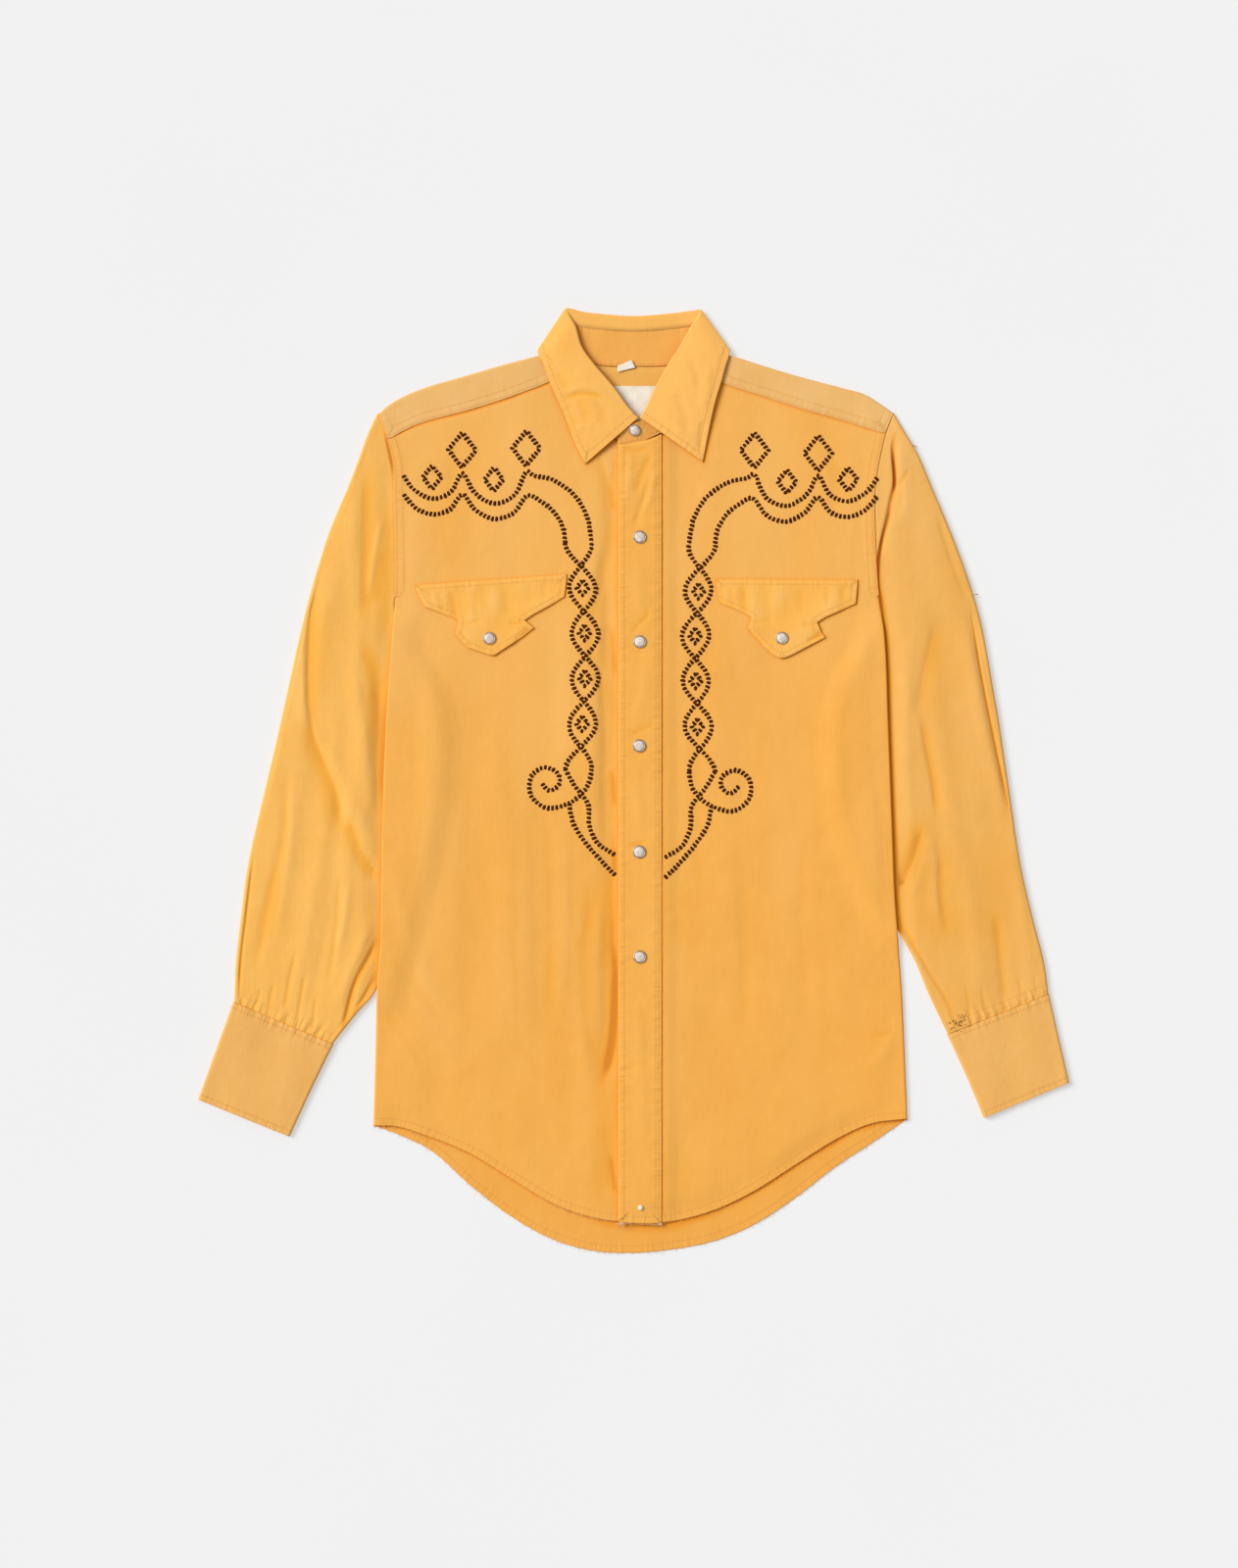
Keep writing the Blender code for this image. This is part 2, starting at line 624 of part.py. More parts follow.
# ------------------------------------------------------------------ collar
Collar = namedtuple("Collar", "nx ny nz rx ry rz turn lx ly lz")
COLLAR = (   # neckline point, middle of the roll, its turn (-90 leaf beneath, 90 leaf on top), leaf edge
    Collar(-2.0, 291.6, 3.7, 3.0, 312.2, 8.0, 90, -42.1, 273.3, 5.6),
    Collar(-14.0, 294.2, 3.6, -6.4, 322.2, 8.2, 90, -51.4, 292.0, 6.4),
    Collar(-27.4, 303.6, 3.7, -18.6, 339.2, 8.4, 90, -59.5, 314.1, 6.9),
    Collar(-40.4, 320.0, 3.8, -34.2, 357.4, 8.3, 88, -65.9, 328.5, 7.1),
    Collar(-51.4, 337.6, 3.8, -45.6, 373.6, 7.8, 80, -72.7, 343.8, 7.2),
    Collar(-60.8, 355.0, 3.7, -50.8, 390.6, 7.4, 64, -78.4, 360.0, 6.6),
    Collar(-60.9, 367.0, 3.4, -55.8, 399.4, 5.9, 38, -82.2, 367.0, 5.4),
    Collar(-61.4, 375.2, 2.8, -58.6, 406.0, 4.6, 0, -82.6, 373.0, 3.9),
    Collar(-56.0, 371.8, 2.4, -54.0, 406.0, 3.5, -42, -78.6, 370.8, 0.6),
    Collar(-46.0, 366.6, 2.1, -45.0, 404.0, 3.0, -72, -61.0, 358.6, 0.5),
    Collar(-30.0, 359.4, 1.9, -32.0, 402.4, 2.7, -90, -36.0, 355.0, 0.5),
    Collar(0.0, 358.4, 1.9, 0.0, 400.2, 2.7, -90, 0.0, 353.4, 0.5),
    Collar(31.0, 359.4, 1.9, 31.0, 402.4, 2.7, -90, 36.0, 355.0, 0.5),
    Collar(49.4, 367.2, 2.1, 44.0, 404.0, 3.0, -72, 62.0, 358.6, 0.5),
    Collar(56.4, 371.8, 2.4, 53.6, 404.8, 3.5, -42, 79.0, 370.8, 0.6),
    Collar(61.0, 375.2, 2.8, 58.0, 404.8, 4.4, 0, 83.0, 372.6, 4.0),
    Collar(60.4, 367.0, 3.4, 55.6, 398.6, 5.8, 38, 82.4, 366.6, 5.8),
    Collar(60.4, 355.0, 3.7, 50.0, 390.4, 7.4, 64, 79.6, 358.4, 7.4),
    Collar(54.0, 336.8, 3.8, 40.0, 372.4, 8.8, 80, 76.4, 346.4, 8.4),
    Collar(43.6, 318.8, 3.9, 30.6, 358.0, 9.5, 88, 71.8, 331.1, 8.6),
    Collar(30.2, 304.4, 4.7, 20.0, 339.2, 9.7, 90, 68.1, 316.6, 8.0),
    Collar(16.4, 297.0, 4.9, 11.4, 320.0, 9.8, 90, 64.2, 297.1, 6.8),
    Collar(4.7, 291.7, 5.0, 6.4, 312.2, 9.8, 90, 59.9, 275.0, 5.6),
)
STAND_TOP = 11.0       # seam of stand and leaf, below the roll at the nape
STAND_TOP_FRONT = 2.4  # the same at the fronts
Tab = namedtuple("Tab", "nx ny nz tx ty tz")
RIGHT_END = (Tab(-5.0, 290.2, 5.1, -4.6, 307.6, 7.3), Tab(-14.4, 288.6, 5.1, -13.2, 301.0, 6.2))
LEFT_END = (Tab(8.0, 292.4, 3.6, 10.0, 304.0, 4.8), Tab(18.0, 295.4, 3.6, 17.4, 302.0, 4.3))


def collar_frame(k):
    c = Collar(*station(COLLAR, k))
    n, r = Vector((c.nx, c.ny, c.nz)), Vector((c.rx, c.ry, c.rz))
    leaf = Vector((c.lx, c.ly, c.lz))
    up = Vector((r.x - n.x, r.y - n.y, 0)).normalized()
    outward = Vector((up.y, -up.x, 0))
    if c.rx < 0:
        outward = -outward
    a = math.radians(c.turn)
    w = outward * math.cos(a) + Vector((0, 0, 1)) * math.sin(a)
    away = Vector((r.x - leaf.x, r.y - leaf.y, 0)).normalized()
    tip = (up + away).normalized()
    half = LEAF_RISE + 0.5 * ease(85.0, 20.0, abs(c.turn))
    return c, n, r, leaf, up, w * half, tip * half


def stand_top(k):
    c, n, r, leaf, up, w, tip = collar_frame(k)
    drop = mix(STAND_TOP, STAND_TOP_FRONT, ease(-60.0, 20.0, c.turn))
    arm = r - w
    return n, arm - (arm - n).normalized() * drop, (arm - n).normalized()


def stand_row(k):
    n, q, d = stand_top(k)
    q = q - d * 4 * SEAM
    return [tuple(n.lerp(q, t)) for t in spaced(3)]


def tab_row(t):
    a, b = Vector((t.nx, t.ny, t.nz)), Vector((t.tx, t.ty, t.tz))
    return [tuple(a.lerp(b, v)) for v in spaced(3)]


COLLAR_STEPS = 44
last = len(COLLAR) - 1
rows = [tab_row(t) for t in LEFT_END[::-1]]
rows += [stand_row(t * last) for t in spaced(COLLAR_STEPS)]
rows += [tab_row(t) for t in RIGHT_END]
sheet("collar_stand", rows, even=False)


def leaf_row(k):
    c, n, r, leaf, up, w, tip = collar_frame(k)
    _, q, d = stand_top(k)
    arm = r - w
    over = r + w
    row = [tuple(q), tuple(arm)]
    for a in (45.0, 90.0, 135.0):
        b = math.radians(a)
        row.append(tuple(r - w * math.cos(b) + tip * math.sin(b)))
    row.append(tuple(over))
    for t in (0.25, 0.5, 0.75, 1.0):
        p = over.lerp(leaf, t)
        p.z += 0.9 * math.sin(math.pi * t) * ease(20.0, 80.0, c.turn)
        row.append(tuple(p))
    return [(x, y, max(z, CLOTH / 2 + 0.02)) for x, y, z in row]


sheet("collar_leaf", [leaf_row(t * last) for t in spaced(COLLAR_STEPS)], even=False)

# ------------------------------------------------------------------ flaps
Lobe = namedtuple("Lobe", "down left right")
FLAP_LEFT = (                   # distance below the top edge, then both edges from the middle
    Lobe(0.0, -66.3, 66.3),
    Lobe(10.0, -63.2, 64.6),
    Lobe(19.5, -59.0, 62.7),
    Lobe(26.0, -45.0, 50.0),
    Lobe(33.0, -30.4, 34.6),
    Lobe(37.4, -31.0, 26.8),
    Lobe(44.5, -34.2, 34.2),
    Lobe(51.0, -29.4, 25.0),
    Lobe(57.5, -23.9, 13.4),
    Lobe(63.0, -11.2, 3.4),
    Lobe(65.8, -4.0, -1.0),
)
FLAP_RIGHT = (
    Lobe(0.0, -61.8, 61.8),
    Lobe(10.0, -60.4, 61.0),
    Lobe(20.6, -58.0, 60.0),
    Lobe(26.6, -43.0, 47.0),
    Lobe(32.4, -30.8, 34.0),
    Lobe(37.0, -31.4, 26.6),
    Lobe(43.8, -33.6, 29.6),
    Lobe(50.2, -27.4, 33.6),
    Lobe(57.4, -20.0, 19.6),
    Lobe(65.0, -11.6, 5.6),
    Lobe(68.2, -5.6, -1.6),
)


def flap_point(where, lx, down):
    x0, y0, angle = where
    c, s = math.cos(angle), math.sin(angle)
    x, y = x0 + lx * c + down * s, y0 + lx * s - down * c
    lift = LAYER + 0.7 * ease(0.0, 50.0, down)
    return (x, y, front_z(x, y) + lift)


def flap(name, where, table):
    rows = [[flap_point(where, mix(r.left, r.right, w), r.down) for w in spaced(8)] for r in table]
    sheet(name, rows)


FLAP_AT_LEFT = (-123.9, 173.4, math.radians(4.05))
FLAP_AT_RIGHT = (132.4, 173.4, math.radians(-0.4))
flap("flap_left", FLAP_AT_LEFT, FLAP_LEFT)
flap("flap_right", FLAP_AT_RIGHT, FLAP_RIGHT)

# ------------------------------------------------------------------ label and tab
rows = []
for y in (341.0, 330.0, 319.0, 309.0):
    rows.append([(x, y, back_z(x, y) + 1.3) for x in (-20.0, -7.0, 7.0, 20.6)])
sheet("label", rows, thickness=0.6, colour=PALE, roughness=0.8)
rows = []
for t in spaced(2):
    a = Vector((-14.0, 358.4, 0)).lerp(Vector((-14.0, 353.2, 0)), t)
    b = Vector((-1.6, 363.6, 0)).lerp(Vector((1.4, 357.0, 0)), t)
    rows.append([(p.x, p.y, 3.6) for p in (a, a.lerp(b, 0.5), b)])
sheet("size_tab", rows, thickness=0.6, colour=PALE, roughness=0.8)

# ------------------------------------------------------------------ snap caps
Ring = namedtuple("Ring", "radius height")
RIM = (                         # turned metal rim: outer foot, crown, inner lip, inner foot
    Ring(1.000, 0.00), Ring(1.000, 0.75), Ring(0.930, 1.25), Ring(0.800, 1.05), Ring(0.800, 0.00))
PEARL_CAP = (
    Ring(0.0, 0.00), Ring(0.765, 0.00), Ring(0.765, 1.00), Ring(0.560, 1.60), Ring(0.0, 1.85))
TURN_STEPS = 20


def turned(name, profile, radius, place, colour, roughness, metallic, ring):
    bm = bmesh.new()
    pts = [bm.verts.new(Vector((p.radius * radius, 0, p.height)) * MM) for p in profile]
    for a, b in zip(pts, pts[1:]):
        bm.edges.new((a, b))
    if ring:
        bm.edges.new((pts[-1], pts[0]))
    mesh = bpy.data.meshes.new(name)
    bm.to_mesh(mesh)
    bm.free()
    ob = add(name, mesh, colour, roughness, metallic)
    ob.matrix_world = place
    turn = ob.modifiers.new("turn", "SCREW")
    turn.angle = math.tau
    turn.steps = turn.render_steps = TURN_STEPS
    turn.use_merge_vertices = True
    turn.merge_threshold = 0.00002
    turn.use_normal_calculate = True
    turn.show_viewport = turn.show_render = True
    return ob


def snap(name, at, radius, normal=Vector((0, 0, 1))):
    z = normal.normalized()
    spin = Vector((0, 0, 1)).rotation_difference(z).to_matrix().to_4x4()
    base = Vector(at) + z * (CLOTH / 2 + 0.12)
    place = Matrix.Translation(base * MM) @ spin
    turned("ring_" + name, RIM, radius, place, STEEL, 0.35, 1.0, True)
    turned("pearl_" + name, PEARL_CAP, radius, place, PEARL, 0.18, 0.0, False)


SNAP_RADIUS = 5.95
BAND_SNAPS = (("1", 5.1, 210.0), ("2", 5.1, 119.4), ("3", 4.7, 29.3), ("4", 4.7, -62.5), ("5", 5.1, -153.4))
for tag, x, y in BAND_SNAPS:
    snap(tag, (x, y, max(band_z(x + a, y + b) for a in (-5, 0, 5) for b in (-5, 0, 5))), SNAP_RADIUS)
for tag, where, lx, down in (("flap_left", FLAP_AT_LEFT, -4.8, 50.8), ("flap_right", FLAP_AT_RIGHT, -3.9, 50.9)):
    p = flap_point(where, lx, down)
    z = max(flap_point(where, lx + a, down + b)[2] for a in (-5, 0, 5) for b in (-5, 0, 5))
    snap(tag, (p[0], p[1], z), SNAP_RADIUS - 0.15)
stand_low, stand_high = Vector((0.5, 291.0, 5.05)), Vector((0.9, 310.0, 7.95))
slope = (stand_high - stand_low).normalized()
snap("collar", tuple(stand_low.lerp(stand_high, 0.6) + Vector((0, 0, 0.25))), 5.2, Vector((0, -slope.z, slope.y)))

TACK = (Ring(0.0, 0.0), Ring(0.85, 0.0), Ring(1.0, 0.35), Ring(0.75, 0.95), Ring(0.0, 1.2))
tack_at = Vector((5.7, -370.5, band_z(5.7, -370.5) + CLOTH / 2 + 0.15))
turned("hem_tack", TACK, 2.3, Matrix.Translation(tack_at * MM), PALE, 0.5, 0.0, False)
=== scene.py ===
"""Looks of the western snap shirt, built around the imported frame.

Frame: +X to the viewer's right, +Y from hem to neck, +Z up from the surface it lies on.
Tables are in millimetres; every mesh is made in metres.
"""
import math
from collections import namedtuple

import bpy
import numpy as np
from mathutils import Matrix, Vector


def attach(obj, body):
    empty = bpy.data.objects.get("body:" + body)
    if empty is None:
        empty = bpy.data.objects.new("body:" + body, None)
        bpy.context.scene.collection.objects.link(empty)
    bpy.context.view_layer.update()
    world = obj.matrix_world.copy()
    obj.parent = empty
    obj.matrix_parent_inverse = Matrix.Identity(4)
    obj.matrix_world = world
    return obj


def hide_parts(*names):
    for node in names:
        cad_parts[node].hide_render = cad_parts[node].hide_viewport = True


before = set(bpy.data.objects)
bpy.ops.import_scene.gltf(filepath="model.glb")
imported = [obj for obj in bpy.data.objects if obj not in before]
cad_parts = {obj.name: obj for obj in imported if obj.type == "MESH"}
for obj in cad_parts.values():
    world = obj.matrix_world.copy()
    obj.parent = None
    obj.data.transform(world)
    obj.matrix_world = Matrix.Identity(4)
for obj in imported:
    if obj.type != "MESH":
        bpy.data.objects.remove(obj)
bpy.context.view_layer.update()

MM = 0.001

# ------------------------------------------------------------------ sizes (mm)
WALL = 0.62            # one layer of shirting as it looks
CLOTH = 1.0            # the same in the frame
CUFF_CLOTH = 1.6
SEAM = 0.3
LAYER = 1.35
HOLLOW = 3.0
SIDE_HOLLOW = 2.1
SLEEVE_UNDER = 2.0
SLEEVE_RISE = 4.2
STACK = 3.4
UNDERARM = 158.0
BACK_SEAM = 226.0
NECK_LIFT = 1.4
BAND_LEFT, BAND_RIGHT = -13.5, 24.6
UNDERLAP = 23.0
CUFF_RISE = 3.4
LEAF_RISE = 1.25
LIP = 0.7              # first cell at a raw or folded edge, which the shading rounds

# ---------------------------------------------------------------- small tools


def ease(a, b, v):
    t = np.clip((np.asarray(v, float) - a) / (b - a), 0.0, 1.0)
    return t * t * (3.0 - 2.0 * t)


def mix(a, b, t):
    return a + (b - a) * t


def along(rows, v, col=1):
    """Smooth curve through the rows of a table whose first column ascends."""
    xs = np.array([r[0] for r in rows], float)
    ys = np.array([r[col] for r in rows], float)
    d = np.diff(ys) / np.diff(xs)
    m = np.concatenate([[d[0]], 0.5 * (d[:-1] + d[1:]), [d[-1]]])
    v = np.clip(np.asarray(v, float), xs[0], xs[-1])
    i = np.clip(np.searchsorted(xs, v, side="right") - 1, 0, len(xs) - 2)
    h = xs[i + 1] - xs[i]
    t = (v - xs[i]) / h
    t2, t3 = t * t, t * t * t
    return ((2 * t3 - 3 * t2 + 1) * ys[i] + (t3 - 2 * t2 + t) * h * m[i]
            + (-2 * t3 + 3 * t2) * ys[i + 1] + (t3 - t2) * h * m[i + 1])


def station(rows, k):
    """Smooth row between the rows of a table, at the fractional row number k."""
    n = len(rows)
    k = min(n - 1.0, max(0.0, k))
    i = min(int(k), n - 2)
    t = k - i
    a, b = rows[max(i - 1, 0)], rows[i]
    c, d = rows[i + 1], rows[min(i + 2, n - 1)]
    return [0.5 * (2 * q + (r - p) * t + (2 * p - 5 * q + 4 * r - s) * t * t
                   + (3 * q - p - 3 * r + s) * t * t * t) for p, q, r, s in zip(a, b, c, d)]


def spaced(n):
    return [i / n for i in range(n + 1)]


def cells(n, length, start=True, end=True):
    """Shares of a run of that length, with a narrow cell at each free edge."""
    t = np.linspace(0.0, 1.0, n + 1)
    lo = [0.0, LIP / length] if start else [0.0]
    hi = [1.0 - LIP / length, 1.0] if end else [1.0]
    inner = t[(t > lo[-1] + 0.3 / n) & (t < hi[0] - 0.3 / n)]
    return np.concatenate([lo, inner, hi])


# ------------------------------------------------------------------ the outline
Side = namedtuple("Side", "y left right")
SIDES = (
    Side(-300.0, -225.7, 237.6),
    Side(-240.0, -224.0, 235.2),
    Side(-180.0, -222.4, 232.4),
    Side(-140.0, -219.6, 229.4),
    Side(-105.0, -218.9, 226.6),
    Side(-40.0, -218.0, 224.0),
    Side(50.0, -214.6, 220.6),
    Side(125.0, -209.4, 217.4),
    Side(165.0, -206.6, 212.2),
    Side(190.0, -206.4, 210.5),
    Side(225.0, -207.0, 209.2),
    Side(250.0, -207.6, 209.0),
    Side(275.0, -208.8, 212.6),
    Side(300.0, -215.0, 218.4),
    Side(317.0, -221.4, 224.8),
)
Hem = namedtuple("Hem", "x front back")
HEM = (
    Hem(-226.0, -299.6, -299.6),
    Hem(-205.0, -300.7, -307.3),
    Hem(-175.0, -310.3, -322.0),
    Hem(-140.0, -325.0, -353.0),
    Hem(-105.0, -346.5, -379.5),
    Hem(-70.0, -367.4, -398.6),
    Hem(-35.0, -379.6, -408.5),
    Hem(0.0, -383.7, -410.3),
    Hem(35.0, -382.4, -407.0),
    Hem(70.0, -373.0, -400.0),
    Hem(105.0, -356.3, -385.3),
    Hem(140.0, -334.0, -362.5),
    Hem(175.0, -312.0, -335.5),
    Hem(205.0, -298.4, -316.0),
    Hem(237.6, -293.7, -293.7),
)
Shoulder = namedtuple("Shoulder", "x fold seam")
SHOULDER = (
    Shoulder(-221.4, 316.6, 296.0),
    Shoulder(-212.9, 324.3, 295.6),
    Shoulder(-200.0, 332.0, 301.5),
    Shoulder(-181.5, 339.6, 308.8),
    Shoulder(-146.6, 349.8, 317.8),
    Shoulder(-111.8, 360.0, 328.6),
    Shoulder(-82.0, 367.6, 339.8),
    Shoulder(-59.5, 372.7, 348.4),
    Shoulder(62.5, 372.7, 347.8),
    Shoulder(87.1, 366.8, 338.9),
    Shoulder(108.4, 360.0, 332.2),
    Shoulder(142.4, 349.8, 320.8),
    Shoulder(180.6, 339.6, 310.3),
    Shoulder(200.0, 334.0, 304.5),
    Shoulder(215.5, 324.3, 300.4),
    Shoulder(224.8, 317.6, 300.0),
)
Nape = namedtuple("Nape", "x y")
NAPE = (
    Nape(-62.4, 371.0),
    Nape(-46.3, 364.4),
    Nape(-30.0, 358.8),
    Nape(0.0, 357.8),
    Nape(31.0, 358.8),
    Nape(49.7, 365.1),
    Nape(62.8, 371.3),
)
NECK_FRONT_LEFT = (
    Nape(-62.4, 347.4),
    Nape(-52.2, 333.3),
    Nape(-42.0, 315.6),
    Nape(-28.4, 301.3),
    Nape(-14.0, 293.7),
    Nape(-2.0, 291.0),
    Nape(24.0, 290.0),
)
NECK_FRONT_RIGHT = (
    Nape(-14.5, 288.4),
    Nape(4.7, 291.1),
    Nape(16.6, 294.2),
    Nape(31.0, 302.0),
    Nape(44.6, 316.6),
    Nape(54.8, 333.3),
    Nape(62.8, 347.8),
)
Tuck = namedtuple("Tuck", "y left right")
TUCK = (
    Tuck(-182.0, -222.0, 262.0),
    Tuck(-135.0, -208.0, 234.0),
    Tuck(-118.0, -203.5, 222.0),
    Tuck(-75.0, -192.5, 202.0),
    Tuck(-4.0, -178.5, 187.0),
    Tuck(55.0, -179.5, 187.0),
    Tuck(86.0, -190.0, 196.0),
    Tuck(110.0, -205.0, 210.0),
    Tuck(125.0, -210.0, 218.0),
)
Window = namedtuple("Window", "top0 top1 end1 end0")
LIFT_LEFT = Window(153.0, 126.0, -186.0, -210.0)
LIFT_RIGHT = Window(153.0, 126.0, -134.0, -158.0)

Fold = namedtuple("Fold", "x0 y0 x1 y1 width height")
BODY_FOLDS = (
    Fold(-21.5, 190.0, -21.5, -88.0, 6.5, -0.9),
    Fold(-20.5, -178.0, -22.0, -255.0, 6.0, -0.8),
    Fold(-44.0, 230.0, -40.0, -60.0, 15.0, 0.9),
    Fold(-110.0, 60.0, -96.0, -250.0, 18.0, 0.9),
    Fold(-168.0, 120.0, -160.0, -220.0, 20.0, 0.8),
    Fold(70.0, 120.0, 62.0, -200.0, 20.0, 0.8),
    Fold(168.0, 150.0, 176.0, -180.0, 22.0, 0.9),
)
SLEEVE_LEFT_FOLDS = (
    Fold(-255.0, 215.0, -318.0, -150.0, 10.0, 1.5),
    Fold(-226.0, 205.0, -289.0, -170.0, 9.0, 1.2),
    Fold(-243.0, 150.0, -263.0, -120.0, 7.0, -0.9),
    Fold(-236.0, 40.0, -258.0, -195.0, 8.0, 1.4),
)
SLEEVE_RIGHT_FOLDS = (
    Fold(262.0, 215.0, 322.0, -40.0, 10.0, 1.4),
    Fold(233.0, 205.0, 300.0, -160.0, 10.0, 1.5),
    Fold(250.0, 130.0, 268.0, -90.0, 7.0, -0.9),
    Fold(300.0, 160.0, 331.0, -45.0, 4.0, -0.8),
)

# Creases in the cloth, each run downwards: ends, bow to the viewer's right, width to the
# left and to the right of its line, height (below 0 a trough).
Crease = namedtuple("Crease", "x0 y0 x1 y1 bow wl wr height")
BODY_CREASES = (
    Crease(-20.0, 205.0, -19.0, -92.0, 0.0, 9.0, 4.0, -0.7),
    Crease(-33.0, 250.0, -31.0, -110.0, -1.5, 9.0, 6.0, 0.75),
    Crease(-22.0, -92.0, -27.0, -258.0, 3.0, 9.0, 5.0, -0.9),
    Crease(-37.0, -120.0, -42.0, -262.0, 2.0, 10.0, 7.0, 0.8),
    Crease(-20.0, -300.0, -24.0, -366.0, 1.0, 10.0, 5.0, -0.7),
    Crease(-16.0, 270.0, -20.0, 205.0, -2.0, 5.0, 4.0, -0.8),
    Crease(-62.0, 190.0, -70.0, -190.0, 6.0, 13.0, 11.0, 0.55),
    Crease(-88.0, 80.0, -92.0, -270.0, -5.0, 12.0, 9.0, 0.6),
    Crease(-128.0, 95.0, -118.0, -300.0, 7.0, 14.0, 11.0, 0.65),
    Crease(-150.0, 60.0, -150.0, -280.0, -5.0, 11.0, 9.0, 0.5),
    Crease(-178.0, 100.0, -184.0, -240.0, 3.0, 9.0, 13.0, 0.6),
    Crease(-197.0, 260.0, -194.0, 110.0, 1.5, 8.0, 12.0, 0.55),
    Crease(-216.0, -60.0, -160.0, -212.0, -6.0, 7.0, 9.0, 0.45),
    Crease(-200.0, -150.0, -140.0, -262.0, -7.0, 8.0, 11.0, 0.4),
    Crease(-205.0, -205.0, -182.0, -270.0, 0.0, 7.0, 9.0, 0.4),
    Crease(-120.0, 290.0, -128.0, 190.0, 2.0, 12.0, 9.0, 0.4),
    Crease(-72.0, 300.0, -84.0, 200.0, -2.0, 10.0, 8.0, 0.4),
    Crease(46.0, 245.0, 44.0, -60.0, 2.0, 12.0, 10.0, 0.5),
    Crease(36.0, -60.0, 41.0, -330.0, 3.0, 10.0, 13.0, 0.5),
    Crease(84.0, 80.0, 92.0, -250.0, -5.0, 15.0, 13.0, 0.55),
    Crease(120.0, 90.0, 132.0, -270.0, 5.0, 14.0, 12.0, 0.45),
    Crease(150.0, 100.0, 160.0, -230.0, -3.0, 13.0, 10.0, 0.45),
    Crease(196.0, 240.0, 199.0, 60.0, 0.0, 12.0, 8.0, 0.5),
    Crease(203.0, 40.0, 213.0, -170.0, 0.0, 11.0, 7.0, 0.5),
    Crease(110.0, 300.0, 116.0, 190.0, 0.0, 11.0, 9.0, 0.35),
    Crease(72.0, 310.0, 60.0, 215.0, 2.0, 9.0, 8.0, 0.35),
    Crease(232.0, -205.0, 205.0, -250.0, 4.0, 6.0, 8.0, 0.5),
    Crease(224.0, -235.0, 168.0, -262.0, 4.0, 7.0, 9.0, 0.4),
)
LEFT_ARM_CREASES = (
    Crease(-240.0, 245.0, -278.0, 120.0, 5.0, 14.0, 10.0, 0.5),
    Crease(-276.0, -80.0, -298.0, -203.0, 3.0, 7.0, 5.0, 0.35),
    Crease(-262.0, -110.0, -284.0, -206.0, 1.0, 4.0, 6.0, -0.4),
    Crease(-295.0, 120.0, -318.0, -40.0, -2.0, 9.0, 14.0, 0.5),
    Crease(-262.0, 120.0, -252.0, 20.0, -4.0, 10.0, 10.0, 0.45),
)
RIGHT_ARM_CREASES = (
    Crease(250.0, 262.0, 262.0, 130.0, 3.0, 12.0, 10.0, 0.5),
    Crease(290.0, -60.0, 306.0, -198.0, -3.0, 9.0, 9.0, 0.5),
    Crease(334.0, -80.0, 346.0, -188.0, 0.0, 6.0, 5.0, 0.4),
    Crease(286.0, 80.0, 300.0, -60.0, 3.0, 12.0, 10.0, 0.5),
    Crease(236.0, 60.0, 236.0, -30.0, -2.0, 7.0, 8.0, 0.5),
)

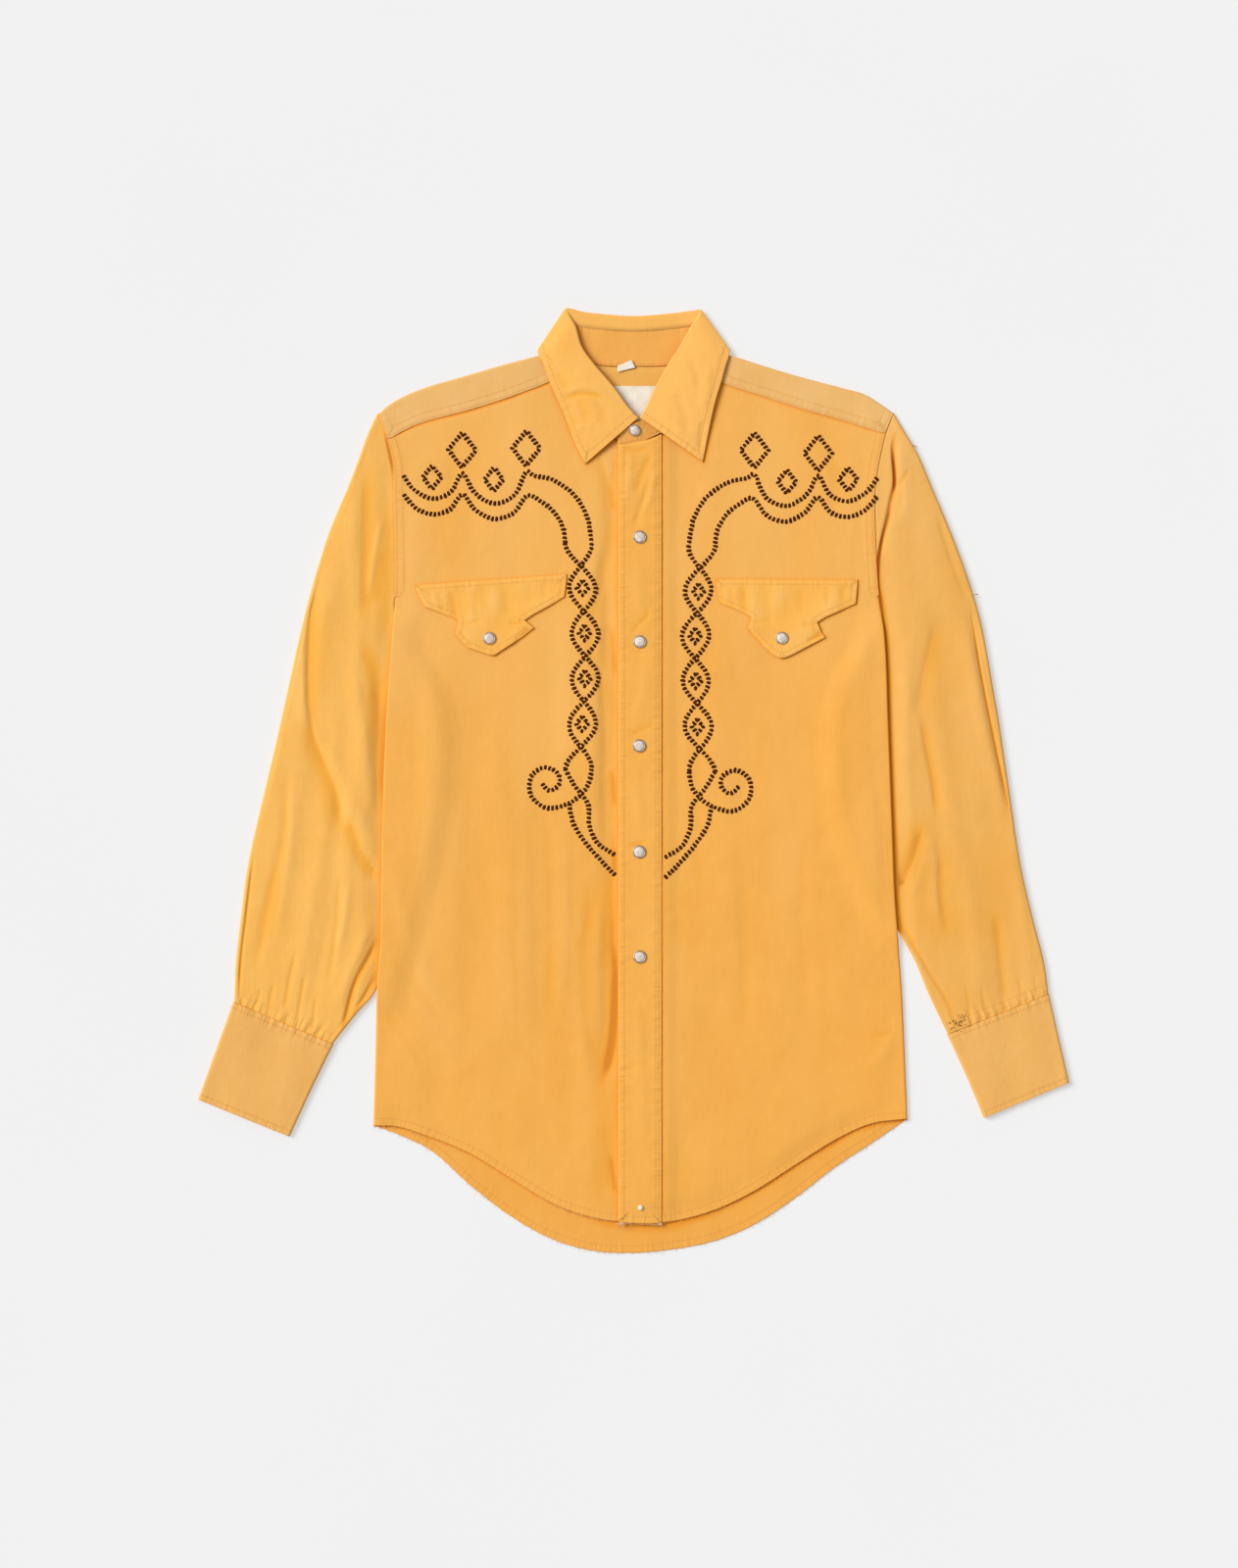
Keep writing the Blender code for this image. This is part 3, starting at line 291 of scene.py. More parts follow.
# Creases that bend: points along the line, then as above; the last number is painted shade
# (below 0) or painted light (above 0) along the crease.
Stroke = namedtuple("Stroke", "path wl wr height tint")
LEFT_ARM_STROKES = (
    Stroke(((-267.0, 160.0), (-270.0, 120.0), (-272.0, 70.0)), 9.0, 9.0, 0.0, -0.5),
    Stroke(((-228.0, 84.0), (-231.0, 50.0), (-232.0, 16.0)), 8.0, 8.0, 0.0, -0.5),
    Stroke(((-308.0, -70.0), (-311.0, -108.0), (-315.0, -146.0)), 10.0, 9.0, 0.0, -0.4),
    Stroke(((-231.2, 274.3), (-232.8, 235.0), (-233.9, 173.3), (-234.5, 128.0)), 3.0, 8.0, -0.55, -1.3),
    Stroke(((-241.0, 262.0), (-242.5, 215.0), (-243.0, 140.0)), 7.0, 6.0, 0.7, 0.35),
    Stroke(((-236.0, 132.0), (-229.5, 108.0), (-222.5, 72.7), (-218.4, 10.6), (-217.6, -34.0)), 6.0, 9.0, -1.2, -1.5),
    Stroke(((-244.0, 104.0), (-238.0, 70.0), (-230.0, 10.0), (-226.0, -40.0)), 8.0, 5.0, 1.0, 0.5),
    Stroke(((-273.0, 178.0), (-280.0, 136.9), (-281.3, 66.7), (-273.0, 36.0)), 2.2, 6.5, -1.1, -1.2),
    Stroke(((-285.0, 160.0), (-287.0, 110.0), (-286.0, 60.0), (-279.0, 26.0)), 9.0, 3.0, 0.9, 0.45),
    Stroke(((-281.0, 62.0), (-276.7, 36.1), (-264.8, 6.7), (-255.6, -20.5), (-252.8, -52.0)), 10.0, 1.8, -1.5, -1.4),
    Stroke(((-268.0, 34.0), (-254.0, 4.0), (-246.5, -24.0), (-245.0, -44.0)), 3.0, 8.0, 0.9, 0.4),
    Stroke(((-248.4, -30.4), (-242.5, -47.0), (-234.7, -66.0), (-217.3, -88.3)), 9.0, 2.2, -1.5, -1.35),
    Stroke(((-240.0, -22.0), (-233.0, -44.0), (-222.0, -66.0)), 3.0, 7.0, 0.9, 0.45),
    Stroke(((-300.7, 16.0), (-300.7, -31.5), (-304.9, -59.5), (-313.3, -96.0), (-320.4, -129.6), (-328.8, -176.0)), 5.0, 4.0, -0.9, -0.7),
    Stroke(((-296.0, 0.0), (-297.0, -60.0), (-303.0, -100.0), (-311.0, -150.0)), 3.0, 6.0, 0.5, 0.3),
    Stroke(((-329.0, -56.0), (-335.2, -110.0), (-340.8, -157.7), (-342.6, -196.0)), 1.2, 1.4, -1.5, -2.6),
    Stroke(((-291.7, -146.0), (-298.5, -174.7), (-302.5, -203.0)), 1.6, 2.6, -0.6, -0.7),
    Stroke(((-284.7, -166.0), (-292.7, -216.0)), 1.4, 2.2, -0.6, -0.7),
    Stroke(((-274.8, -186.0), (-279.5, -221.0)), 1.4, 2.0, -0.5, -0.6),
    Stroke(((-312.0, -176.0), (-317.0, -200.0)), 1.4, 2.4, -0.5, -0.6),
    Stroke(((-323.0, -180.0), (-327.0, -197.0)), 1.3, 2.0, -0.4, -0.5),
    Stroke(((-254.0, -78.0), (-257.2, -129.6), (-264.5, -181.8)), 3.0, 2.4, -0.6, -0.6),
    Stroke(((-247.0, -84.0), (-250.0, -120.0), (-257.0, -150.0)), 3.0, 3.5, 0.5, 0.35),
    Stroke(((-218.4, -128.0), (-229.2, -150.7), (-240.4, -171.8), (-247.4, -194.2), (-255.4, -230.0)), 1.2, 3.2, -1.6, -2.3),
    Stroke(((-225.0, -122.0), (-236.0, -146.0), (-247.0, -170.0), (-255.0, -200.0)), 6.0, 3.0, 0.9, 0.4),
    Stroke(((-221.3, -163.4), (-233.0, -186.0), (-250.9, -217.0)), 1.2, 2.6, -0.9, -1.5),
    Stroke(((-217.4, 228.5), (-224.0, 196.0), (-229.8, 156.8)), 3.0, 3.0, 0.6, 0.5),
    Stroke(((-216.0, 204.0), (-221.0, 180.0), (-222.0, 150.0)), 4.0, 5.0, -0.2, -0.8),
    Stroke(((-213.5, 246.0), (-212.0, 206.0), (-211.6, 170.0), (-213.6, 140.0), (-217.0, 112.0)), 9.0, 3.5, -0.1, -0.9),
)
RIGHT_ARM_STROKES = (
    Stroke(((249.0, -6.0), (252.0, -60.0), (258.0, -120.0), (266.0, -160.0)), 12.0, 10.0, 0.0, -0.45),
    Stroke(((262.0, 130.0), (259.0, 82.0), (262.0, 40.0)), 9.0, 10.0, 0.0, -0.4),
    Stroke(((225.3, 302.0), (223.8, 287.0), (224.4, 276.7), (225.4, 263.9), (225.2, 253.7), (221.9, 239.3), (217.2, 218.0),
            (212.1, 195.1), (211.2, 178.0)), 1.3, 3.4, -1.7, -1.2),
    Stroke(((228.0, 253.0), (239.9, 269.2)), 1.4, 1.6, -0.7, -1.0),
    Stroke(((232.0, 296.0), (233.0, 270.0), (237.0, 246.0), (230.0, 216.0)), 5.0, 8.0, 0.9, 0.4),
    Stroke(((261.7, 232.0), (276.1, 185.7), (290.0, 151.7)), 2.0, 3.0, -0.4, -0.5),
    Stroke(((290.5, 156.0), (299.0, 101.9), (308.3, 52.3), (319.2, -0.4), (327.0, -34.4), (333.8, -62.5)), 1.1, 1.4, -1.4, -2.6),
    Stroke(((285.0, 150.0), (294.0, 100.0), (303.0, 52.0), (314.0, 0.0), (322.0, -34.0)), 7.0, 2.4, 0.8, 0.25),
    Stroke(((264.7, 145.2), (249.6, 83.3), (247.6, 50.7)), 4.0, 9.0, -0.8, -0.6),
    Stroke(((241.0, 130.0), (238.0, 86.0), (239.0, 50.0)), 8.0, 5.0, 0.6, 0.25),
    Stroke(((247.9, 60.7), (252.8, 27.6), (259.0, -3.6), (262.6, -37.5)), 1.8, 6.0, -0.8, -1.0),
    Stroke(((250.6, -36.8), (240.9, -69.8), (228.0, -99.5)), 6.0, 2.0, -0.9, -1.2),
    Stroke(((258.0, -40.0), (250.0, -76.0), (238.0, -104.0)), 3.0, 6.0, 0.7, 0.3),
    Stroke(((236.0, -88.0), (229.0, -91.0)), 1.2, 1.2, -0.4, -1.0),
    Stroke(((260.5, -50.1), (260.5, -93.6), (264.7, -125.2)), 6.0, 3.6, 0.6, 0.4),
    Stroke(((265.5, -60.0), (266.0, -100.0), (271.0, -140.0)), 2.6, 5.0, -0.5, -0.6),
    Stroke(((312.2, -112.1), (318.0, -158.5), (321.9, -198.6)), 4.0, 5.0, -0.8, -0.7),
    Stroke(((228.7, -118.9), (253.3, -163.0), (270.4, -190.9), (280.1, -214.3)), 1.4, 2.6, -0.6, -0.9),
    Stroke(((301.0, -178.0), (304.0, -203.0)), 1.4, 2.2, -0.4, -0.5),
    Stroke(((288.0, -180.0), (292.0, -208.0)), 1.4, 2.4, -0.4, -0.5),
    Stroke(((333.0, -170.0), (337.0, -192.0)), 1.4, 2.2, -0.4, -0.5),
    Stroke(((346.0, -168.0), (349.0, -188.0)), 1.3, 2.0, -0.3, -0.5),
)
BODY_STROKES = (
    Stroke(((-15.0, 240.0), (-17.0, 222.0), (-21.7, 195.9), (-33.1, 146.8), (-35.3, 107.5), (-24.5, 77.8), (-16.6, 44.9)),
           6.0, 4.5, -0.9, -0.9),
    Stroke(((-17.4, 282.0), (-16.4, 262.0), (-15.0, 248.0)), 2.2, 2.2, -0.3, -0.7),
    Stroke(((-18.0, 176.0), (-19.0, 128.0), (-17.0, 96.0)), 3.0, 3.5, 0.4, 0.3),
    Stroke(((-17.0, -40.0), (-18.6, -100.0), (-16.6, -175.0)), 3.5, 2.6, -0.6, -0.8),
    Stroke(((-31.0, 284.0), (-25.0, 263.0), (-19.0, 245.0), (-14.2, 229.0)), 7.5, 3.2, -0.8, -1.3),
    Stroke(((-19.5, 136.0), (-16.8, 114.0), (-15.6, 86.0)), 3.8, 1.8, -0.6, -1.4),
    Stroke(((-20.0, 10.0), (-17.2, -4.0), (-15.6, -26.0)), 3.4, 1.8, -0.5, -1.3),
    Stroke(((-17.5, -58.0), (-16.0, -70.0), (-15.6, -86.0)), 3.0, 1.8, -0.4, -1.2),
    Stroke(((-36.3, -80.8), (-41.2, -167.0), (-34.4, -241.7), (-17.6, -268.4)), 5.0, 7.0, -0.8, -0.75),
    Stroke(((-28.5, -98.8), (-29.3, -160.0), (-27.0, -228.0)), 4.0, 4.0, 0.6, 0.3),
    Stroke(((-15.2, -138.0), (-15.8, -185.0), (-18.4, -222.0), (-23.4, -249.0), (-31.5, -273.0)), 3.4, 3.0, -0.5, -1.5),
    Stroke(((-15.0, -160.0), (-16.0, -200.0), (-18.6, -226.0), (-22.8, -248.0), (-27.6, -263.0)), 5.6, 5.0, -0.6, -1.5),
    Stroke(((-58.0, -200.0), (-54.0, -260.0), (-60.0, -320.0)), 14.0, 12.0, -0.1, -0.5),
    Stroke(((-71.0, -120.0), (-72.0, -200.0), (-70.0, -300.0)), 13.0, 12.0, 0.0, -0.4),
    Stroke(((-28.0, -250.0), (-27.0, -285.0), (-24.0, -320.0)), 9.0, 8.0, -0.1, -0.55),
    Stroke(((-24.0, -70.0), (-23.0, -120.0), (-20.0, -176.0)), 8.0, 5.0, -0.2, -0.6),
    Stroke(((-152.0, -10.0), (-152.0, -50.0), (-150.0, -90.0)), 16.0, 16.0, 0.0, 0.3),
    Stroke(((-20.5, -322.0), (-18.0, -340.0), (-14.6, -362.0)), 3.4, 2.4, -0.5, -1.3),
    Stroke(((-76.0, -10.0), (-71.0, -110.0), (-76.0, -230.0)), 3.5, 5.0, -0.35, -0.35),
    Stroke(((-60.0, -30.0), (-58.0, -120.0), (-62.0, -220.0)), 5.0, 3.5, 0.3, 0.3),
    Stroke(((-99.0, -20.0), (-102.0, -130.0), (-96.0, -260.0)), 4.0, 6.0, -0.3, -0.3),
    Stroke(((-214.0, -150.0), (-186.0, -180.0), (-162.0, -214.0)), 4.0, 3.0, -0.35, -0.4),
    Stroke(((-217.0, -196.0), (-196.0, -224.0), (-180.0, -252.0)), 4.0, 3.0, -0.35, -0.4),
    Stroke(((226.0, -214.0), (218.0, -221.0), (206.0, -222.0)), 2.0, 2.0, -0.5, -0.8),
    Stroke(((196.0, 230.0), (192.0, 180.0), (196.0, 120.0)), 5.0, 7.0, -0.35, -0.35),
    Stroke(((150.0, -40.0), (146.0, -130.0), (152.0, -220.0)), 6.0, 6.0, -0.3, -0.3),
    Stroke(((92.0, -60.0), (97.0, -150.0), (92.0, -240.0)), 5.0, 7.0, -0.3, -0.3),
    Stroke(((58.0, 60.0), (54.0, -20.0), (60.0, -120.0)), 6.0, 5.0, -0.3, -0.3),
    Stroke(((-150.0, 296.0), (-158.0, 262.0), (-150.0, 225.0)), 5.0, 7.0, -0.3, -0.25),
    Stroke(((-96.0, 205.0), (-104.0, 190.0), (-98.0, 172.0)), 5.0, 5.0, -0.2, -0.2),
    Stroke(((168.0, 290.0), (176.0, 258.0), (170.0, 222.0)), 6.0, 6.0, -0.3, -0.25),
)
BACK_CREASES = (
    Crease(-150.0, 190.0, -140.0, -150.0, 8.0, 14.0, 12.0, 0.35),
    Crease(-70.0, 215.0, -80.0, -290.0, -8.0, 16.0, 12.0, 0.35),
    Crease(40.0, 200.0, 52.0, -320.0, 6.0, 15.0, 12.0, 0.35),
    Crease(130.0, 190.0, 122.0, -240.0, -8.0, 13.0, 14.0, 0.35),
    Crease(-190.0, -40.0, -120.0, -250.0, -6.0, 10.0, 12.0, 0.3),
    Crease(190.0, 60.0, 170.0, -210.0, 4.0, 12.0, 10.0, 0.3),
)


def relief(folds, x, y):
    total = np.zeros(np.broadcast(x, y).shape)
    for f in folds:
        dx, dy = f.x1 - f.x0, f.y1 - f.y0
        length2 = dx * dx + dy * dy
        t = ((x - f.x0) * dx + (y - f.y0) * dy) / length2
        px, py = f.x0 + dx * t, f.y0 + dy * t
        d2 = ((x - px) ** 2 + (y - py) ** 2) / (f.width * f.width)
        total = total + f.height * np.exp(-d2) * ease(-0.08, 0.2, t) * ease(1.08, 0.8, t)
    return total


def creased(table, x, y):
    total = np.zeros(np.broadcast(x, y).shape)
    for c in table:
        dx, dy = c.x1 - c.x0, c.y1 - c.y0
        length = math.hypot(dx, dy)
        ux, uy = dx / length, dy / length
        t = ((x - c.x0) * ux + (y - c.y0) * uy) / length
        d = (x - c.x0) * -uy + (y - c.y0) * ux - c.bow * 4 * t * (1 - t)
        w = np.where(d > 0, c.wr, c.wl)
        total = total + c.height * np.exp(-(d / w) ** 2) * ease(-0.06, 0.3, t) * ease(1.06, 0.7, t)
    return total


def stroke_fields(table, x, y):
    """Height and tint that a table of bent creases adds at each point."""
    x, y = np.broadcast_arrays(np.asarray(x, float), np.asarray(y, float))
    height, tint = np.zeros(x.shape), np.zeros(x.shape)
    for s in table:
        n = (len(s.path) - 1) * 5
        pts = np.array([station(s.path, k * (len(s.path) - 1) / n) for k in range(n + 1)])
        reach = 2.6 * max(s.wl, s.wr)
        lo, hi = pts.min(0) - reach, pts.max(0) + reach
        near = (x > lo[0]) & (x < hi[0]) & (y > lo[1]) & (y < hi[1])
        if not near.any():
            continue
        px, py = x[near], y[near]
        best = np.full(px.shape, 1e9)
        side, share = np.zeros(px.shape), np.zeros(px.shape)
        run = np.concatenate([[0.0], np.cumsum(np.hypot(*np.diff(pts, axis=0).T))])
        for (ax, ay), (bx, by), r0, r1 in zip(pts, pts[1:], run, run[1:]):
            dx, dy = bx - ax, by - ay
            t = np.clip(((px - ax) * dx + (py - ay) * dy) / (dx * dx + dy * dy), 0.0, 1.0)
            d = np.hypot(px - ax - t * dx, py - ay - t * dy)
            better = d < best
            best = np.where(better, d, best)
            side = np.where(better, (py - ay) * dx - (px - ax) * dy, side)
            share = np.where(better, (r0 + t * (r1 - r0)) / run[-1], share)
        w = np.where(side > 0, s.wr, s.wl)
        form = np.exp(-(best / w) ** 2) * ease(0.0, 0.22, share) * ease(1.0, 0.78, share)
        height[near] += s.height * form
        tint[near] += s.tint * form
    return height, tint


# Long soft waves that keep flat cloth from looking pressed: direction, wavelength, phase, height
Wave = namedtuple("Wave", "dx dy length phase height")
WAVES = (
    Wave(1.0, 0.10, 83.0, 0.4, 0.16),
    Wave(0.96, -0.28, 57.0, 2.1, 0.12),
    Wave(0.30, 0.95, 121.0, 1.0, 0.14),
    Wave(-0.55, 0.83, 74.0, 3.3, 0.10),
    Wave(0.99, 0.05, 31.0, 5.0, 0.07),
    Wave(0.70, 0.71, 43.0, 0.9, 0.06),
)


def waves(x, y):
    total = np.zeros(np.broadcast(x, y).shape)
    for w in WAVES:
        total = total + w.height * np.sin((x * w.dx + y * w.dy) * math.tau / w.length + w.phase)
    return total


def left_edge(y):
    return along(SIDES, y, 1)


def right_edge(y):
    return along(SIDES, y, 2)


def lifted(x, y):
    """How much of the sleeve's stack carries the body here, 0 to 1."""
    m = np.zeros(np.broadcast(x, y).shape)
    for col, win, s in ((1, LIFT_LEFT, 1.0), (2, LIFT_RIGHT, -1.0)):
        inside = s * (x - along(TUCK, y, col))
        part = ease(win.top0, win.top1, y) * ease(win.end0, win.end1, y) * ease(30.0, 6.0, inside)
        m = np.maximum(m, part)
    return m


def nape_lift(x, y):
    rho = np.hypot((x - 1.0) / 92.0, (y - 405.0) / 56.0)
    return NECK_LIFT * ease(1.45, 1.22, rho)


def back_z(x, y):
    return CLOTH / 2 + STACK * lifted(x, y) + nape_lift(x, y)


def front_z(x, y):
    m = lifted(x, y)
    side = np.minimum(x - left_edge(y), right_edge(y) - x)
    soft = ease(2.0, 30.0, side) * ease(20.0, 60.0, y - along(HEM, x, 1) + 20.0)
    return CLOTH / 2 + STACK * m + mix(HOLLOW, SIDE_HOLLOW, m) + soft * relief(BODY_FOLDS, x, y)


def armhole_ridge(x, y):
    """The turned seam allowance, caught down on the body's side of the armhole."""
    inside = np.minimum(x - left_edge(y), right_edge(y) - x)
    return 0.3 * ease(9.6, 8.2, inside) * ease(UNDERARM + 2.0, UNDERARM + 14.0, y)


def face_z(x, y):
    """The front as it shows, with its creases."""
    side = np.minimum(x - left_edge(y), right_edge(y) - x)
    soft = ease(1.5, 16.0, side)
    low = y - along(HEM, x, 1)
    hem = 0.25 * ease(7.2, 5.6, low)
    flutter = 0.35 * np.sin(x / 11.0 + 1.3 * np.sin(x / 29.0)) * ease(22.0, 0.0, low)
    bent = stroke_fields(BODY_STROKES, x, y)[0]
    fall = 1.45 * ease(24.0, 1.0, low) * ease(3.0, 26.0, side)
    z = (front_z(x, y) + soft * (0.9 * creased(BODY_CREASES, x, y) + bent + 0.8 * waves(x, y)) * ease(0.0, 20.0, low)
         + armhole_ridge(x, y) + hem + flutter * 0.6 - fall)
    return np.maximum(z, back_z(x, y) + 1.25 + 0.85 * ease(0.0, 3.0, side) * ease(0.0, 14.0, low))


def over_face_z(x, y):
    """The other front, carried by the underlap beside the band."""
    return face_z(x, y) + LAYER * ease(40.0, 27.0, x)


def band_ripple(x, y):
    """Small cross puckers where the band's two edges are stitched."""
    edge = np.minimum(x - BAND_LEFT, BAND_RIGHT - x)
    side = np.where(x < 5.5, 0.0, 2.4)
    fine = np.sin(y / 1.9 + 2.2 * np.sin(y / 13.0 + side) + side) + 0.6 * np.sin(y / 3.1 + side * 2)
    return 0.13 * fine * ease(11.0, 5.0, edge) * ease(-1.0, 2.0, edge)


BAND_CREASES = (
    Crease(14.0, 264.0, -2.0, 216.0, 2.0, 2.6, 4.5, -0.9),
    Crease(19.0, 270.0, 5.0, 224.0, 2.0, 4.0, 3.0, 0.8),
    Crease(-3.0, 286.0, -8.0, 238.0, 1.0, 3.0, 4.0, 0.7),
    Crease(4.0, 188.0, 9.0, 140.0, -2.0, 5.0, 4.0, 0.35),
    Crease(11.0, 100.0, 2.0, 48.0, 1.0, 4.0, 5.0, 0.35),
    Crease(-2.0, 4.0, 8.0, -42.0, 1.0, 5.0, 4.0, 0.3),
    Crease(3.0, -190.0, 8.0, -330.0, 1.0, 6.0, 5.0, 0.4),
)


BAND_STROKES = (
    Stroke(((-0.5, 124.6), (3.0, 132.8), (11.1, 139.8), (12.6, 150.0)), 1.5, 2.6, -0.45, -0.9),
    Stroke(((-4.0, 39.3), (3.0, 40.5), (12.3, 45.1), (21.7, 48.6)), 1.4, 2.4, -0.4, -0.9),
    Stroke(((-5.2, -57.7), (3.0, -56.5), (12.3, -52.3)), 1.3, 2.2, -0.35, -0.8),
    Stroke(((15.8, 283.2), (7.7, 266.9), (1.8, 246.0)), 2.4, 3.4, -0.6, -0.8),
    Stroke(((-9.9, 287.1), (3.0, 284.4), (14.0, 288.0)), 1.6, 2.4, -0.4, -0.9),
    Stroke(((-10.0, 276.0), (0.0, 270.0), (8.0, 274.0)), 1.6, 2.4, -0.3, -0.6),
    Stroke(((-8.0, 118.0), (2.0, 110.0), (10.0, 112.0)), 2.0, 3.0, -0.3, -0.5),
    Stroke(((14.0, 30.0), (6.0, 22.0), (-2.0, 24.0)), 2.0, 3.0, -0.25, -0.4),
    Stroke(((-8.0, -150.0), (2.0, -156.0), (14.0, -150.0)), 2.0, 3.0, -0.3, -0.5),
    Stroke(((-9.0, -252.0), (4.0, -247.0), (16.0, -250.0)), 2.0, 3.0, -0.3, -0.5),
)


def band_face_z(x, y):
    edge = np.minimum(x - BAND_LEFT, BAND_RIGHT - x)
    fall = 1.45 * ease(24.0, 1.0, y - along(HEM, x, 1))
    base = front_z(x, y) - fall + LAYER * ease(40.0, 27.0, x) + LAYER - 0.62 * ease(1.2, 0.1, x - BAND_LEFT) - 0.5 * ease(0.8, 0.1, BAND_RIGHT - x) - 0.55 * ease(5.0, 0.7, BAND_RIGHT - x)
    return base + band_ripple(x, y) + creased(BAND_CREASES, x, y) + stroke_fields(BAND_STROKES, x, y)[0] + 0.4 * waves(x, y)


def top_left(x):
    return np.where(x > -62.4, along(NECK_FRONT_LEFT, x), along(SHOULDER, x, 2))


def top_right(x):
    return np.where(x < 62.8, along(NECK_FRONT_RIGHT, x), along(SHOULDER, x, 2))


# ------------------------------------------------------------------ node materials
def linear(r, g, b):
    return tuple(((c / 255 + 0.055) / 1.055) ** 2.4 if c > 10 else c / 255 / 12.92 for c in (r, g, b))


class Nodes:
    """Short names for building a node tree."""

    def __init__(self, name):
        self.m = bpy.data.materials.new(name)
        self.m.use_nodes = True
        self.t = self.m.node_tree
        self.bsdf = self.t.nodes["Principled BSDF"]

    def node(self, kind, **settings):
        n = self.t.nodes.new(kind)
        for k, v in settings.items():
            setattr(n, k, v)
        return n

    def put(self, socket, value):
        if isinstance(value, bpy.types.NodeSocket):
            self.t.links.new(value, socket)
        else:
            socket.default_value = value

    def math(self, op, a, b=0.0, c=None):
        n = self.node("ShaderNodeMath", operation=op)
        self.put(n.inputs[0], a)
        self.put(n.inputs[1], b)
        if c is not None:
            self.put(n.inputs[2], c)
        return n.outputs[0]

    def add(self, *terms):
        total = terms[0]
        for t in terms[1:]:
            total = self.math("ADD", total, t)
        return total

    def mul(self, *terms):
        total = terms[0]
        for t in terms[1:]:
            total = self.math("MULTIPLY", total, t)
        return total

    def step(self, v, a, b, lo=0.0, hi=1.0):
        n = self.node("ShaderNodeMapRange", interpolation_type="SMOOTHSTEP")
        self.put(n.inputs["Value"], v)
        for k, x in (("From Min", a), ("From Max", b), ("To Min", lo), ("To Max", hi)):
            n.inputs[k].default_value = x
        return n.outputs[0]

    def attribute(self, name):
        return self.node("ShaderNodeAttribute", attribute_name=name).outputs["Fac"]

    def place(self, scale=(1, 1, 1), turn=0.0):
        c = self.node("ShaderNodeTexCoord").outputs["Object"]
        n = self.node("ShaderNodeMapping")
        self.put(n.inputs["Vector"], c)
        n.inputs["Scale"].default_value = scale
        n.inputs["Rotation"].default_value = (0, 0, turn)
        return n.outputs[0]

    def noise(self, scale, detail=2.0, rough=0.5, where=None, w=None):
        n = self.node("ShaderNodeTexNoise", noise_dimensions="3D" if w is None else "1D")
        if w is None:
            self.put(n.inputs["Vector"], where if where is not None else self.place())
        else:
            self.put(n.inputs["W"], w)
        n.inputs["Scale"].default_value = scale
        n.inputs["Detail"].default_value = detail
        n.inputs["Roughness"].default_value = rough
        return n.outputs["Fac"]

    def wave(self, period, direction, where=None, distort=0.0):
        n = self.node("ShaderNodeTexWave", wave_type="BANDS", bands_direction=direction)
        self.put(n.inputs["Vector"], where if where is not None else self.place())
        n.inputs["Scale"].default_value = math.tau / 20 / period
        n.inputs["Distortion"].default_value = distort
        n.inputs["Detail"].default_value = 1.0
        return n.outputs["Fac"]

    def blend(self, factor, a, b, mode="MIX"):
        n = self.node("ShaderNodeMix", data_type="RGBA", blend_type=mode)
        self.put(n.inputs[0], factor)
        self.put(n.inputs[6], (*a, 1.0) if isinstance(a, tuple) else a)
        self.put(n.inputs[7], (*b, 1.0) if isinstance(b, tuple) else b)
        return n.outputs[2]

    def bump(self, height):
        n = self.node("ShaderNodeBump")
        n.inputs["Strength"].default_value = 1.0
        n.inputs["Distance"].default_value = 1.0
        self.put(n.inputs["Height"], height)
        self.t.links.new(n.outputs["Normal"], self.bsdf.inputs["Normal"])

    def finish(self, colour=None, roughness=0.8, metallic=0.0, sheen=0.0, specular=0.3, coat=0.0):
        if colour is not None:
            self.put(self.bsdf.inputs["Base Color"], (*colour, 1.0) if isinstance(colour, tuple) else colour)
        self.put(self.bsdf.inputs["Roughness"], roughness)
        self.bsdf.inputs["Metallic"].default_value = metallic
        self.bsdf.inputs["Specular IOR Level"].default_value = specular
        self.bsdf.inputs["Sheen Weight"].default_value = sheen
        self.bsdf.inputs["Sheen Roughness"].default_value = 0.45
        self.bsdf.inputs["Coat Weight"].default_value = coat
        return self.m


# Tones of the shirting: body, its mottling, worn edge and painted light on pucker tops, stitched groove and
# painted shade in pucker troughs, painted light on crease tops, painted shade in creases, deeper painted shade
# in folds, painted shadow beside the edge of a layer lying over it, the painted shadow line right at that edge,
# and painted shade in a crevice that little light reaches
Tone = namedtuple("Tone", "main deep worn groove faded rich dark shade core pit")


def tone(r, g, b):
    m = tuple(c + k for c, k in zip(linear(r, g, b), (0.002, 0.010, 0.017)))
    def by(*k):
        return tuple(min(1.0, c * q) for c, q in zip(m, k))
    return Tone(m, by(0.965, 0.925, 0.83), by(1.01, 1.10, 1.6), by(0.87, 0.75, 0.55),
                by(0.995, 1.065, 1.40), by(0.985, 0.85, 0.50), by(0.76, 0.53, 0.22), by(0.96, 0.70, 0.16),
                by(0.98, 0.58, 0.05), by(0.42, 0.155, 0.0))


